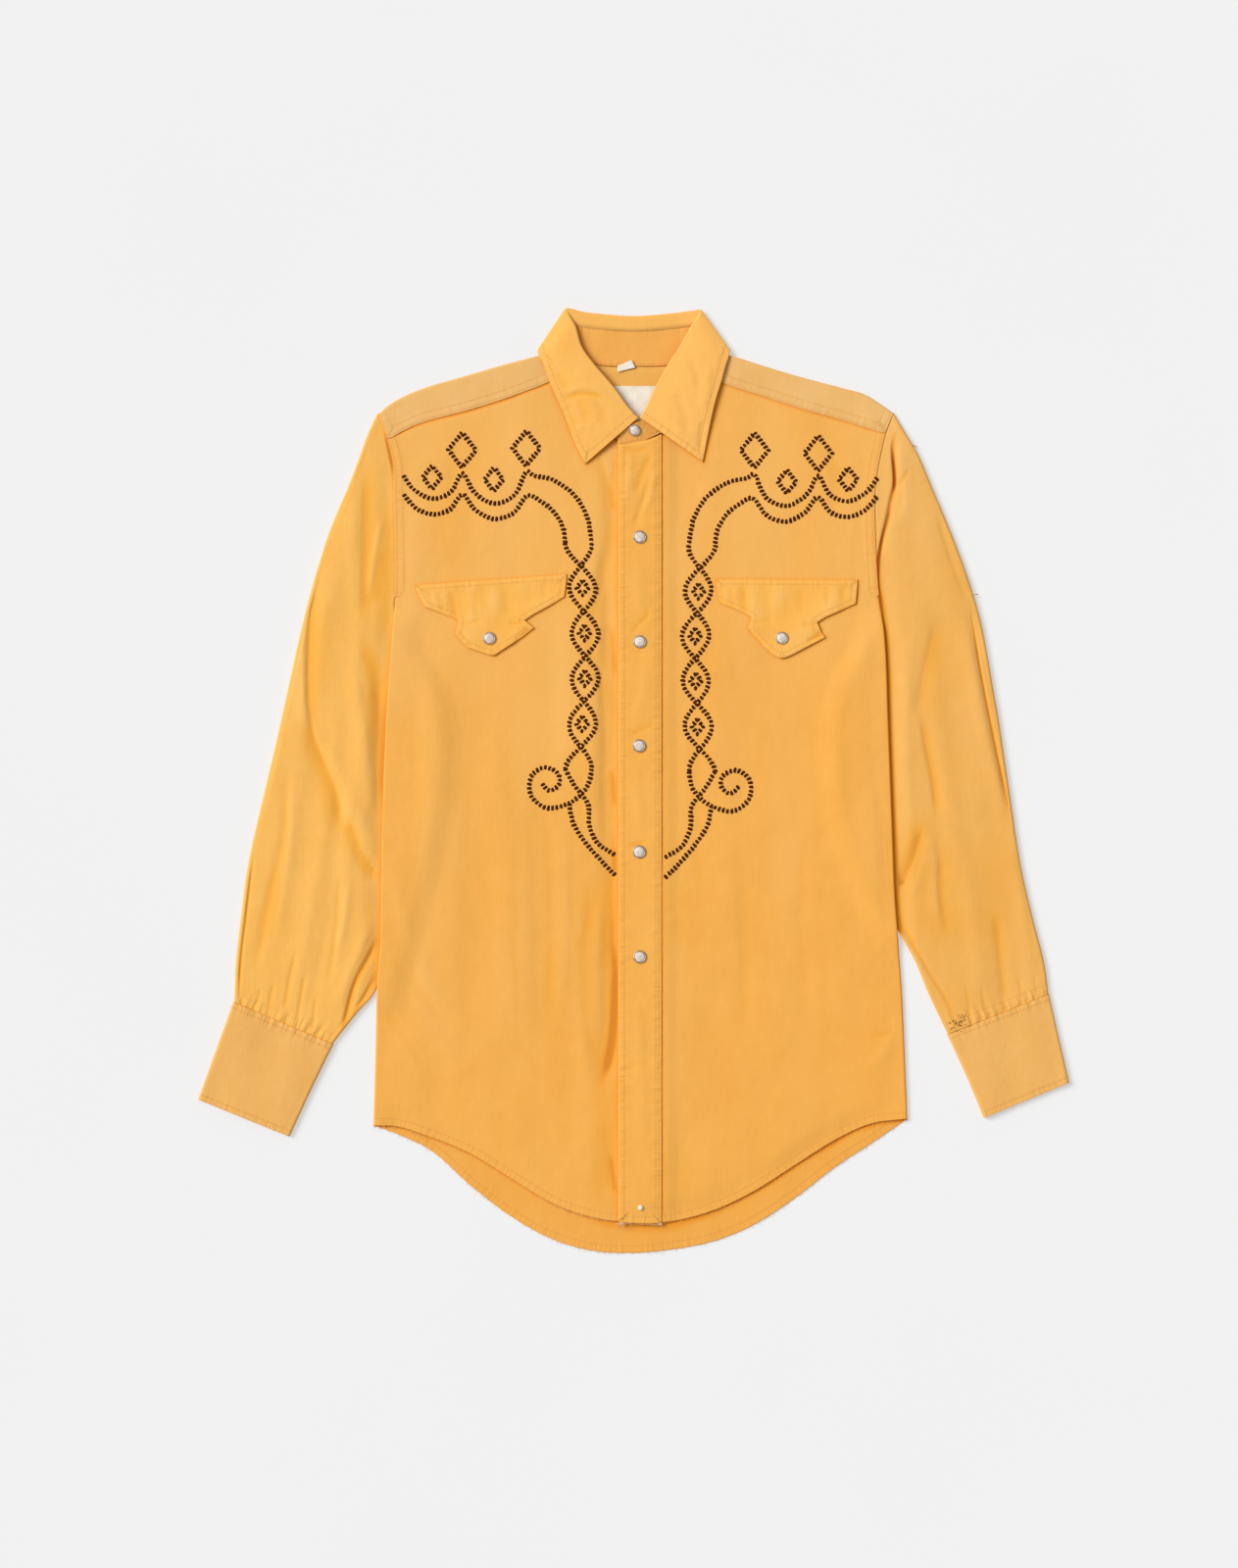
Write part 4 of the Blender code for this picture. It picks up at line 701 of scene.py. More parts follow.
def shirting(name, t, turn=0.0, hem_line=6.0, seam_lines=(1.7, 7.4), pucker=1.0):
    """Fine cotton twill, dyed mustard, with painted light and shade on its creases, edges and crevices."""
    n = Nodes(name)
    big = n.noise(14.0, 3.0, 0.55)
    mid = n.noise(70.0, 3.0, 0.6)
    streak = n.noise(1.0, 2.0, 0.55, where=n.place((900.0, 26.0, 60.0), turn))
    cross = n.noise(1.0, 2.0, 0.55, where=n.place((34.0, 1100.0, 60.0), turn))
    bands = n.noise(1.0, 1.0, 0.5, where=n.place((44.0, 3.4, 20.0), turn))
    cloud = n.add(n.mul(big, 0.42), n.mul(mid, 0.26), n.mul(streak, 0.22), n.mul(cross, 0.10), n.mul(bands, 0.17))
    colour = n.blend(n.step(cloud, 0.42, 0.76), t.deep, t.main)
    # painted light on crease tops and painted shade in creases and folds, from a per-point attribute
    painted_shading = n.attribute("painted_shading")
    colour = n.blend(n.step(painted_shading, 0.0, 1.0, 0.0, 0.75), colour, t.faded)
    colour = n.blend(n.step(painted_shading, 0.0, -1.2, 0.0, 0.95), colour, t.rich)
    colour = n.blend(n.step(painted_shading, -0.9, -2.5, 0.0, 0.9), colour, t.dark)

    hd, hs = n.attribute("hem_d"), n.attribute("hem_s")
    sd, ss = n.attribute("seam_d"), n.attribute("seam_s")
    groove = n.step(n.math("ABSOLUTE", n.math("SUBTRACT", hd, hem_line)), 1.15, 0.1)
    for line in seam_lines:
        groove = n.math("MAXIMUM", groove, n.step(n.math("ABSOLUTE", n.math("SUBTRACT", sd, line)), 1.15, 0.1))
    ripple_h = n.math("SUBTRACT", n.noise(1.0 / 3.4, 1.5, 0.6, w=hs), 0.5)
    ripple_s = n.math("SUBTRACT", n.noise(1.0 / 4.2, 1.5, 0.6, w=ss), 0.5)
    near_h = n.step(hd, hem_line + 5.5, hem_line - 1.5)
    near_s = n.step(sd, 13.0, 5.0)
    ripple = n.add(n.mul(ripple_h, near_h), n.mul(ripple_s, near_s))
    edge = n.math("MAXIMUM", n.step(hd, 2.0, 1.0), n.step(sd, 1.5, 0.6))
    edge_shade = n.math("MAXIMUM", n.step(hd, 0.95, 0.35, 0.0, 0.6), n.step(sd, 0.8, 0.3, 0.0, 0.45))
    patchy = n.step(n.noise(240.0, 3.0, 0.6), 0.42, 0.62)
    colour = n.blend(n.mul(groove, 0.20), colour, t.groove)
    # painted light on the pucker tops and painted shade in their troughs, following the ripple that also bumps the
    # cloth
    colour = n.blend(n.step(ripple, 0.02, 0.26, 0.0, 0.16), colour, t.worn)
    colour = n.blend(n.step(ripple, -0.04, -0.26, 0.0, 0.15), colour, t.groove)
    colour = n.blend(n.mul(edge, patchy, 0.3), colour, t.worn)
    # painted shade on the narrow strip at each edge
    colour = n.blend(edge_shade, colour, t.shade)

    # painted shadow beside the edge of a layer lying over this one, and painted shade along deep folds
    beside = n.step(n.math("ABSOLUTE", n.attribute("shade_d")), 2.0, 0.5, 0.0, 0.9)
    colour = n.blend(n.step(n.attribute("shade_s"), 0.0, 1.0, 0.0, 0.95), colour, t.shade)
    colour = n.blend(n.mul(beside, n.attribute("shade_w")), colour, t.core)
    colour = n.blend(n.step(n.attribute("pit"), 0.0, 1.0, 0.0, 1.0), colour, t.pit)

    warp = n.wave(0.00052, "X", n.place((1, 1, 1), turn), 0.6)
    weft = n.wave(0.00061, "Y", n.place((1, 1, 1), turn), 0.6)
    twill = n.wave(0.00090, "DIAGONAL", n.place((1, 1, 1), turn), 0.8)
    weave = n.add(n.mul(warp, 0.000018), n.mul(weft, 0.000014), n.mul(twill, 0.00003))
    slub = n.add(n.mul(streak, 0.00009), n.mul(cross, 0.00005))
    soft = n.add(n.mul(n.noise(52.0, 2.0, 0.5), 0.0006), n.mul(n.noise(150.0, 3.0, 0.6), 0.00022))
    height = n.add(weave, slub, soft, n.mul(ripple, 0.0008 * pucker), n.mul(groove, -0.00012))
    n.bump(height)
    rough = n.step(cloud, 0.35, 0.8, 0.78, 0.66)
    return n.finish(colour, rough, sheen=0.08, specular=0.10)


BODY = tone(235, 169, 72)
RIGHT_BODY = tone(235, 168, 70)
YOKE_TONE = tone(229, 178, 104)
ARM_TONE = tone(239, 178, 83)
RIGHT_ARM_TONE = tone(231, 171, 82)
# the collar's right leaf gets a brighter painted light tone
COLLAR_TONE = tone(240, 179, 87)._replace(faded=linear(253, 188, 98))
BAND_TONE = tone(236, 170, 71)
CUFF_TONE = tone(230, 173, 91)
BACK_TONE = tone(233, 164, 64)

M = {
    "front_left": shirting("shirting_front_left", BODY, hem_line=6.0, pucker=0.55),
    "front_right": shirting("shirting_front_right", RIGHT_BODY, hem_line=6.0, pucker=0.55),
    "back": shirting("shirting_back", BACK_TONE, hem_line=6.0, pucker=0.55),
    "yoke": shirting("shirting_yoke", YOKE_TONE, turn=1.5708, pucker=0.4),
    "placket": shirting("shirting_placket", BAND_TONE, hem_line=5.6, pucker=0.9),
    "sleeve_left": shirting("shirting_sleeve_left", ARM_TONE, turn=-0.15, hem_line=-20.0),
    "sleeve_right": shirting("shirting_sleeve_right", RIGHT_ARM_TONE, turn=0.17, hem_line=-20.0),
    "cuff": shirting("shirting_cuff", CUFF_TONE, turn=1.1, hem_line=4.8, pucker=0.8),
    "collar": shirting("shirting_collar", COLLAR_TONE, turn=0.6, hem_line=5.2, pucker=0.6),
    "stand": shirting("shirting_stand", tone(234, 168, 76), turn=1.5708, hem_line=1.6, pucker=0.6),
    "flap": shirting("shirting_flap", tone(240, 175, 75), hem_line=4.4, pucker=0.45),
}


def thread(name, colour, dark, specular=0.35, sheen=0.1):
    n = Nodes(name)
    twist = n.wave(0.00042, "DIAGONAL", distort=1.0)
    tint = n.noise(160.0, 2.0, 0.6)
    # darker in the grooves of the twist, which also bumps the thread: painted shade, with random tone from the noise
    c = n.blend(n.step(n.add(n.mul(twist, 0.5), n.mul(tint, 0.6)), 0.3, 0.8), dark, colour)
    n.bump(n.mul(twist, 0.00005))
    return n.finish(c, 0.62, sheen=sheen, specular=specular)


M["thread"] = thread("sewing_thread", linear(245, 186, 94), linear(226, 157, 70))
M["dark"] = thread("embroidery_thread_dark", linear(92, 40, 5), linear(58, 25, 3), 0.0, 0.0)
M["cream"] = thread("embroidery_thread_cream", linear(252, 208, 118), linear(238, 178, 84))
M["fray"] = thread("frayed_thread", linear(252, 218, 150), linear(240, 184, 96))
M["pale"] = thread("frayed_thread_pale", linear(255, 240, 214), linear(250, 222, 180))
M["nick"] = thread("loose_dark_thread", linear(150, 92, 40), linear(96, 56, 26))


def rim():
    """The raw thickness of the cloth at an edge, painted deep orange as shade for the crevices beside the edges."""
    n = Nodes("shirting_edge_shade")
    c = n.blend(n.step(n.noise(300.0, 3.0, 0.6), 0.35, 0.7), linear(222, 132, 26), linear(232, 150, 40))
    n.bump(n.mul(n.noise(900.0, 2.0, 0.6), 0.00004))
    return n.finish(c, 0.85, sheen=0.0, specular=0.1)


M["rim"] = rim()


def tape():
    n = Nodes("label_tape")
    warp = n.wave(0.0007, "X", distort=0.3)
    weft = n.wave(0.0005, "Y", distort=0.3)
    c = n.blend(n.step(n.noise(90.0, 3.0, 0.6), 0.3, 0.7), linear(226, 216, 198), linear(240, 233, 219))
    n.bump(n.add(n.mul(warp, 0.00005), n.mul(weft, 0.00004), n.mul(n.noise(120.0), 0.0002)))
    return n.finish(c, 0.75, specular=0.25)


M["tape"] = tape()


def pearl():
    n = Nodes("pearl")
    cloud = n.noise(420.0, 4.0, 0.62)
    ring = n.noise(900.0, 2.0, 0.5)
    c = n.blend(n.step(cloud, 0.36, 0.66), linear(196, 184, 174), linear(230, 216, 204))
    c = n.blend(n.step(ring, 0.5, 0.75, 0.0, 0.35), c, linear(222, 196, 190))
    n.bump(n.mul(cloud, 0.00008))
    return n.finish(c, n.step(cloud, 0.3, 0.7, 0.3, 0.45), specular=0.5, coat=0.25)


def metal(name, colour, dark):
    n = Nodes(name)
    worn = n.noise(700.0, 3.0, 0.6)
    c = n.blend(n.step(worn, 0.35, 0.7), dark, colour)
    n.bump(n.mul(n.noise(1500.0, 2.0, 0.5), 0.00003))
    return n.finish(c, n.step(worn, 0.3, 0.7, 0.42, 0.58), metallic=1.0, specular=0.5)


M["pearl"] = pearl()
M["metal"] = metal("snap_metal", linear(214, 200, 184), linear(172, 154, 134))


# ------------------------------------------------------------------ mesh makers
def distance_to(points, lines, open_ends=False):
    """For each point, the distance to the nearest of the lines and how far along it lies."""
    best = np.full(len(points), 100.0)
    arc = np.zeros(len(points))
    base = 0.0
    for line in lines:
        line = line[~np.isnan(line[:, 0])]
        a, b = line[:-1], line[1:]
        ab = b - a
        l2 = np.maximum((ab * ab).sum(1), 1e-9)
        run = np.concatenate([[0.0], np.cumsum(np.sqrt(l2))])
        for i in range(0, len(points), 4000):
            p = points[i:i + 4000]
            ap = p[:, None, :] - a[None]
            t = np.clip((ap * ab[None]).sum(2) / l2[None], 0.0, 1.0)
            d = np.sqrt(((ap - t[:, :, None] * ab[None]) ** 2).sum(2))
            k = d.argmin(1)
            r = np.arange(len(p))
            near = d[r, k]
            if open_ends:
                clamped = ((k == 0) & (t[r, k] <= 0.0)) | ((k == len(a) - 1) & (t[r, k] >= 1.0))
                near = np.where(clamped & (near > 0.4), near + 9.0, near)
            better = near < best[i:i + 4000]
            s = base + run[k] + t[r, k] * np.sqrt(l2[k])
            best[i:i + 4000] = np.where(better, near, best[i:i + 4000])
            arc[i:i + 4000] = np.where(better, s, arc[i:i + 4000])
        base += run[-1] + 37.0
    return best, arc


def link(ob, material, slot, rim=None):
    bpy.context.scene.collection.objects.link(ob)
    ob.data.materials.append(material)
    if rim:
        ob.data.materials.append(rim)
    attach(ob, "root")
    return ob


SHEETS = {}


def cloth(name, P, material, wrap=False, wall=WALL, hem=(), seam=(), painted_shading=None, replaces=None, slot="shirting"):
    """A shell of cloth on a grid of middle-surface points; NaN leaves an opening."""
    P = np.asarray(P, float)
    ok = ~np.isnan(P[:, :, 0])
    index = np.full(ok.shape, -1)
    index[ok] = np.arange(ok.sum())
    cur, nxt = (index, np.roll(index, -1, axis=1)) if wrap else (index[:, :-1], index[:, 1:])
    quads = np.stack([cur[:-1], cur[1:], nxt[1:], nxt[:-1]], -1).reshape(-1, 4)
    quads = quads[(quads >= 0).all(1)]
    used = np.unique(quads)
    remap = np.full(ok.sum(), -1)
    remap[used] = np.arange(len(used))
    points = P[ok][used]
    mesh = bpy.data.meshes.new("cloth_" + name)
    mesh.from_pydata((points * MM).tolist(), [], remap[quads].tolist())
    mesh.polygons.foreach_set("use_smooth", np.ones(len(mesh.polygons), bool))
    kept = {}
    # per-point painted light and shade, read by the material
    worn = np.zeros(ok.shape) if painted_shading is None else np.broadcast_to(painted_shading, ok.shape)
    att = mesh.attributes.new("painted_shading", "FLOAT", "POINT")
    att.data.foreach_set("value", worn[ok][used].astype(np.float32))
    for key, far in (("shade_d", 100.0), ("shade_w", 0.0), ("shade_s", 0.0), ("pit", 0.0)):
        att = mesh.attributes.new(key, "FLOAT", "POINT")
        att.data.foreach_set("value", np.full(len(points), far, np.float32))
    for label, lines in (("hem", hem), ("seam", seam)):
        d, s = distance_to(points, lines, label == "seam" and name.startswith("front"))
        for key, values in (("_d", d), ("_s", s)):
            att = mesh.attributes.new(label + key, "FLOAT", "POINT")
            att.data.foreach_set("value", values.astype(np.float32))
        field = np.full(ok.shape, np.nan)
        flat = np.full(ok.sum(), np.nan)
        flat[used] = d
        field[ok] = flat
        kept[label] = field
    mesh.update()
    ob = link(bpy.data.objects.new("cloth_" + name, mesh), material, slot, M["rim"] if slot == "shirting" else None)
    solid = ob.modifiers.new("wall", "SOLIDIFY")
    solid.thickness = wall * MM
    solid.offset = 0.0
    solid.use_even_offset = False
    solid.material_offset_rim = 1 if slot == "shirting" else 0
    if replaces:
        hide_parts(replaces)
    SHEETS[name] = (ob, P, kept)
    return ob


def contour(name, kind, r, side, rows=None, reach=None):
    """Points on a sheet at distance r from its stitched edge, met from one side of the grid."""
    _, P, kept = SHEETS[name]
    D = kept[kind]
    if side in ("top", "bottom"):
        P, D = P.transpose(1, 0, 2), D.T
    if side in ("right", "bottom"):
        P, D = P[:, ::-1], D[:, ::-1]
    out = []
    span = range(P.shape[0]) if rows is None else range(*rows)
    for i in span:
        good = ~np.isnan(D[i])
        p, d = P[i][good], D[i][good]
        if len(d) < 3:
            continue
        low = int(np.argmax(d < r)) if (d < r).any() else None
        if low is None:
            continue
        above = np.nonzero(d[low:] >= r)[0]
        if not len(above):
            continue
        k = low + above[0]
        if reach is not None and np.linalg.norm(p[k] - p[0]) > reach:
            continue
        t = (r - d[k - 1]) / max(d[k] - d[k - 1], 1e-9) if k else 0.0
        out.append(p[max(k - 1, 0)] + (p[k] - p[max(k - 1, 0)]) * t)
    return np.array(out)


def resample(path, pitch):
    """Even points along a path, and the direction at each."""
    step = np.linalg.norm(np.diff(path, axis=0), axis=1)
    keep = np.concatenate([[True], step > 1e-6])
    path = path[keep]
    run = np.concatenate([[0.0], np.cumsum(np.linalg.norm(np.diff(path, axis=0), axis=1))])
    n = max(int(run[-1] / pitch), 1)
    s = (np.arange(n) + 0.5) * (run[-1] / n)
    at = np.stack([np.interp(s, run, path[:, k]) for k in range(3)], 1)
    h = pitch * 0.4
    fore = np.stack([np.interp(np.minimum(s + h, run[-1]), run, path[:, k]) for k in range(3)], 1)
    aft = np.stack([np.interp(np.maximum(s - h, 0), run, path[:, k]) for k in range(3)], 1)
    way = fore - aft
    return at, way / np.maximum(np.linalg.norm(way, axis=1, keepdims=True), 1e-9)


class Beads:
    """Many small spindles gathered into one mesh: stitches, bars of embroidery, fibres."""

    def __init__(self, sides=6, rings=((-1.0, 0.0), (-0.72, 0.78), (0.0, 1.0), (0.72, 0.78), (1.0, 0.0))):
        self.sides, self.rings = sides, rings
        self.v, self.f, self.n = [], [], 0
        faces = []
        inner = len(rings) - 2
        for j in range(sides):
            k = (j + 1) % sides
            faces.append((0, 1 + k, 1 + j, -1))
            for r in range(inner - 1):
                a, b = 1 + r * sides, 1 + (r + 1) * sides
                faces.append((a + j, a + k, b + k, b + j))
            last = 1 + (inner - 1) * sides
            faces.append((1 + inner * sides, last + j, last + k, -1))
        self.faces = faces

    def add(self, at, way, length, width, height, up=None):
        """Spindles at those points; length along way, width across, height along up."""
        at, way = np.atleast_2d(at), np.atleast_2d(way)
        up = np.tile([0.0, 0.0, 1.0], (len(at), 1)) if up is None else np.atleast_2d(up)
        side = np.cross(up, way)
        side /= np.maximum(np.linalg.norm(side, axis=1, keepdims=True), 1e-9)
        lift = np.cross(way, side)
        length = np.broadcast_to(length, len(at))
        width = np.broadcast_to(width, len(at))
        height = np.broadcast_to(height, len(at))
        for i in range(len(at)):
            pts = [at[i] - way[i] * length[i] / 2]
            for t, r in self.rings[1:-1]:
                for j in range(self.sides):
                    a = math.tau * j / self.sides
                    pts.append(at[i] + way[i] * t * length[i] / 2
                               + side[i] * math.cos(a) * r * width[i] / 2
                               + lift[i] * math.sin(a) * r * height[i] / 2)
            pts.append(at[i] + way[i] * length[i] / 2)
            self.v.append(np.array(pts))
            self.f += [tuple(q + self.n for q in f if q >= 0) for f in self.faces]
            self.n += len(pts)

    def make(self, name, material, slot="shirting"):
        if not self.v:
            return None
        mesh = bpy.data.meshes.new(name)
        mesh.from_pydata((np.concatenate(self.v) * MM).tolist(), [], self.f)
        mesh.polygons.foreach_set("use_smooth", np.ones(len(mesh.polygons), bool))
        mesh.update()
        return link(bpy.data.objects.new(name, mesh), material, slot)


# ------------------------------------------------------------------ the body
TURN = [math.radians(a) for a in (3.0, 15.0, 28.0, 42.0, 56.0, 70.0, 82.0)]


def side_turn(y):
    return np.asarray(y) <= UNDERARM + 0.01


def flat_edge(s, y):
    edge = left_edge(y) if s > 0 else right_edge(y)
    r = (front_z(edge + s * 3, y) - back_z(edge + s * 3, y)) / 2
    return np.where(side_turn(y), edge + s * (CLOTH / 2 + r), edge + s * SEAM / 2)


def side_fold(s, y, upper):
    """Quarter turn from the side seam to the flat cloth, one row a level; NaN above the underarm."""
    edge = left_edge(y) if s > 0 else right_edge(y)
    zb, zf = back_z(edge + s * 3, y), front_z(edge + s * 3, y)
    r = (zf - zb) / 2
    cols = []
    for a in TURN:
        x = edge + s * (CLOTH / 2 + r * (1 - math.cos(a)))
        z = zb + r + (r if upper else -r) * math.sin(a)
        p = np.stack([x, y, z], -1)
        p[~side_turn(y)] = np.nan
        cols.append(p)
    return cols


def panel_levels(x_of, top_of, hem_of, chest, skirt):
    """Levels of each column: top edge, underarm, hem."""
    top = np.full(len(x_of(UNDERARM)), UNDERARM)
    for _ in range(10):
        top = top_of(x_of(top))
    hem = np.full(len(top), -330.0)
    for _ in range(10):
        hem = hem_of(x_of(hem))
    lap = 0.06 + 5.0 * ease(62.6, 66.0, np.abs(x_of(np.mean(top))))
    rows = [top + lap, top + lap * 0.6, top + lap * 0.25]
    rows += [mix(top, UNDERARM, t) for t in cells(chest, 140.0, True, False)[:-1]]
    rows += [np.full(len(top), UNDERARM)]
    rows += [mix(UNDERARM, hem, t) for t in cells(skirt, 480.0, False, True)[1:]]
    return np.array(rows)


def front_panel(name, s, inner, z_at, top_at, material):
    w = cells(104, 235.0, True, True)

    def x_of(y):
        return mix(flat_edge(s, y), inner, w)
    Y = panel_levels(x_of, lambda x: top_at(x) - SEAM, lambda x: along(HEM, x, 1), 62, 176)
    X = np.stack([x_of(y) for y in Y])
    Z = z_at(X, Y) - 0.42 * ease(-2.0, 0.2, Y - top_at(X)) * ease(62.6, 66.0, np.abs(X))
    grid = np.stack([X, Y, Z], -1)
    turned = np.stack(side_fold(s, Y[:, 0], True), 1)
    P = np.concatenate([turned, grid], 1)
    # painted light on the left side's turned edge, painted shade on the right side's, which faces away from the light
    turned_shading = np.full(turned.shape[:2], 0.3 if s > 0 else -1.2)
    worn = np.concatenate([turned_shading, body_shading(X, Y)], 1)
    n = int((Y[:, 0] > UNDERARM).sum())
    k = len(TURN)
    hem = [P[-1]]
    seam = [P[:n + 1, k]]
    cloth(name, P, material, hem=hem, seam=seam, painted_shading=worn, replaces=name)


def body_shading(x, y):
    """Painted light along the ridges, painted shade in the troughs, beside the band and along the right edge; paler
    towards the neck.
    """
    beside = np.minimum(ease(BAND_LEFT - 9.0, BAND_LEFT - 1.0, x), ease(BAND_RIGHT + 6.0, BAND_RIGHT + 1.0, x))
    chest = 0.66 * ease(-70.0, 190.0, y)
    right = 0.7 * ease(5.0, 1.0, right_edge(y) - x) * ease(250.0, 200.0, y)
    return (creased(BODY_CREASES, x, y) * 0.45 + stroke_fields(BODY_STROKES, x, y)[1] + 0.7 * waves(x * 0.8, y * 0.5)
            - 0.4 * beside + chest - right)


front_panel("front_left", 1.0, UNDERLAP, face_z, top_left, M["front_left"])
front_panel("front_right", -1.0, BAND_LEFT, over_face_z, top_right, M["front_right"])


def back_face_z(x, y):
    side = np.minimum(x - left_edge(y), right_edge(y) - x)
    low = y - along(HEM, x, 2)
    open_air = 1.0 - lifted(x, y)
    rise = creased(BACK_CREASES, x, y) + 0.25 * np.abs(waves(x, y))
    flutter = 0.22 * (1 + np.sin(x / 13.0 + 1.1 * np.sin(x / 23.0))) * ease(26.0, 0.0, low)
    return back_z(x, y) + ease(2.0, 20.0, side) * open_air * (rise + flutter * ease(2.0, 30.0, side))


w = cells(132, 440.0, True, True)


def back_x(y):
    return mix(flat_edge(1.0, y), flat_edge(-1.0, y), w)


Y = []
hem_y = np.full(len(w), -340.0)
for _ in range(10):
    hem_y = along(HEM, back_x(hem_y), 2)
for t in cells(20, 68.0, True, False)[:-1]:
    Y.append(np.full(len(w), mix(BACK_SEAM - SEAM, UNDERARM, t)))
Y.append(np.full(len(w), UNDERARM))
for t in cells(94, 520.0, False, True)[1:]:
    Y.append(mix(UNDERARM, hem_y, t))
Y = np.array(Y)
X = np.stack([back_x(y) for y in Y])
grid = np.stack([X, Y, back_face_z(X, Y)], -1)
P = np.concatenate([np.stack(side_fold(1.0, Y[:, 0], False), 1), grid,
                    np.stack(side_fold(-1.0, Y[:, -1], False), 1)[:, ::-1]], 1)
n_open = int((Y[:, 0] > UNDERARM).sum())
# painted light and shade along the back's creases and waves
worn = np.nan_to_num(1.2 * creased(BACK_CREASES, P[:, :, 0], P[:, :, 1]) + 0.8 * waves(P[:, :, 0] * 0.8, P[:, :, 1] * 0.6))
cloth("back", P, M["back"], painted_shading=worn, hem=[P[-1]], seam=[P[:n_open + 1, len(TURN)], P[:n_open + 1, -len(TURN) - 1]],
      replaces="back")

# ------------------------------------------------------------------ the yoke
YOKE_CREASES = (
    Crease(-176.0, 332.0, -128.0, 322.0, 2.0, 5.0, 7.0, 0.35),
    Crease(-120.0, 350.0, -86.0, 342.0, 1.0, 4.0, 6.0, 0.3),
    Crease(120.0, 346.0, 164.0, 322.0, 1.0, 6.0, 5.0, 0.35),
    Crease(84.0, 356.0, 116.0, 338.0, 0.0, 5.0, 5.0, 0.3),
    Crease(-205.0, 322.0, -188.0, 304.0, 0.0, 6.0, 7.0, 0.4),
    Crease(196.0, 328.0, 210.0, 306.0, 0.0, 6.0, 6.0, 0.4),
)


def yoke_top_z(x, y):
    seam = y - along(SHOULDER, x, 2)
    return (front_z(x, y) + 0.32 * ease(9.8, 7.4, seam) + armhole_ridge(x, y) * ease(8.0, 9.4, seam)
            + creased(YOKE_CREASES, x, y) + 0.5 * waves(x * 1.3, y * 1.7))


FRONT_STEPS, TURN_STEPS, BACK_STEPS = 12, 9, 26
shares = cells(150, 440.0, True, True)


def yoke_column(u):
    def x_at(y):
        y = np.minimum(y, 316.6)
        return mix(left_edge(y) + SEAM / 2, right_edge(y) - SEAM / 2, u)
    x = float(x_at(316.6))
    fold = float(along(SHOULDER, x, 1))
    back_t = np.linspace(0.0, 1.0, BACK_STEPS)
    if -62.4 < x < 62.8:
        nape = float(along(NAPE, x))
        y = mix(nape, BACK_SEAM, back_t)
        p = np.stack([x_at(y), y, back_z(x_at(y), y)], -1)
        return np.concatenate([np.full((FRONT_STEPS + TURN_STEPS - 1, 3), np.nan), p])
    seam = float(along(SHOULDER, float(x_at(300.0)), 2))
    zf, zb = float(front_z(x, fold - 6)), float(back_z(x, fold - 6))
    r = (zf - zb) / 2
    centre = fold - CLOTH / 2 - r
    y = np.concatenate([[seam, seam + LIP], np.linspace(seam + 2.4, centre, FRONT_STEPS - 1)[:-1]])
    blend = ease(centre, centre - 6.0, y)
    zt = mix(front_z(x_at(y), y), yoke_top_z(x_at(y), y), blend)
    out = [np.stack([x_at(y), y, zt], -1)]
    a = np.radians(np.linspace(90.0, -90.0, TURN_STEPS))
    y = centre + r * np.cos(a)
    out.append(np.stack([x_at(y), y, zb + r + r * np.sin(a)], -1))
    y = mix(centre, BACK_SEAM, back_t[1:])
    out.append(np.stack([x_at(y), y, back_z(x_at(y), y)], -1))
    return np.concatenate(out)


left_at = float(left_edge(316.6)) + SEAM / 2
right_at = float(right_edge(316.6)) - SEAM / 2
breaks = [(v - left_at) / (right_at - left_at) for v in (-62.42, -62.36, 62.76, 62.82)]
us = np.sort(np.concatenate([[u for u in shares if min(abs(u - b) for b in breaks) > 0.003], breaks]))
P = np.stack([yoke_column(u) for u in us])
n_front = FRONT_STEPS
outside = ~np.isnan(P[:, 0, 0])
first_neck = int(np.argmin(outside))
last_neck = len(us) - 1 - int(np.argmin(outside[::-1]))
arm_end = int(np.argmax(P[0, :, 1] > 0)) + n_front
# painted light and shade along the yoke's creases and waves, and painted shade inside the neck
worn = np.where(np.isnan(P[:, :, 0]), 0.0, 0.6 * creased(YOKE_CREASES, P[:, :, 0], P[:, :, 1])
                + 0.6 * waves(P[:, :, 0], P[:, :, 1])
                - 0.9 * ease(64.0, 56.0, np.abs(P[:, :, 0])) * ease(296.0, 306.0, P[:, :, 1]))
cloth("yoke", P, M["yoke"], painted_shading=worn, replaces="yoke",
      seam=[P[:first_neck, 0], P[last_neck + 1:, 0], P[0], P[-1], P[:, -1]])

# ------------------------------------------------------------------ the front band
xs = mix(BAND_LEFT, BAND_RIGHT, cells(26, 38.1, True, True))
top = along(NECK_FRONT_RIGHT, xs) - SEAM
bottom = along(HEM, xs, 1) - 0.4
Y = np.stack([mix(top, bottom, t) for t in cells(420, 672.0, True, True)])
X = np.broadcast_to(xs, Y.shape)
P = np.stack([X, Y, band_face_z(X, Y)], -1)
# painted light and shade along the band's creases, strokes, puckers and waves
worn = (0.8 * creased(BAND_CREASES, X, Y) + stroke_fields(BAND_STROKES, X, Y)[1] + 0.5 * waves(X, Y)
        + 1.2 * band_ripple(X, Y))
tucked = [P[:1] + np.array([0.0, up, -drop]) for up, drop in ((2.0, 0.62), (0.25, 0.42))]
P = np.concatenate(tucked + [P])                # runs on beneath the collar stand
worn = np.concatenate([worn[:1], worn[:1], worn])
cloth("placket", P, M["placket"], hem=[P[:, 0], P[:, -1], P[-1]], painted_shading=worn, replaces="placket")

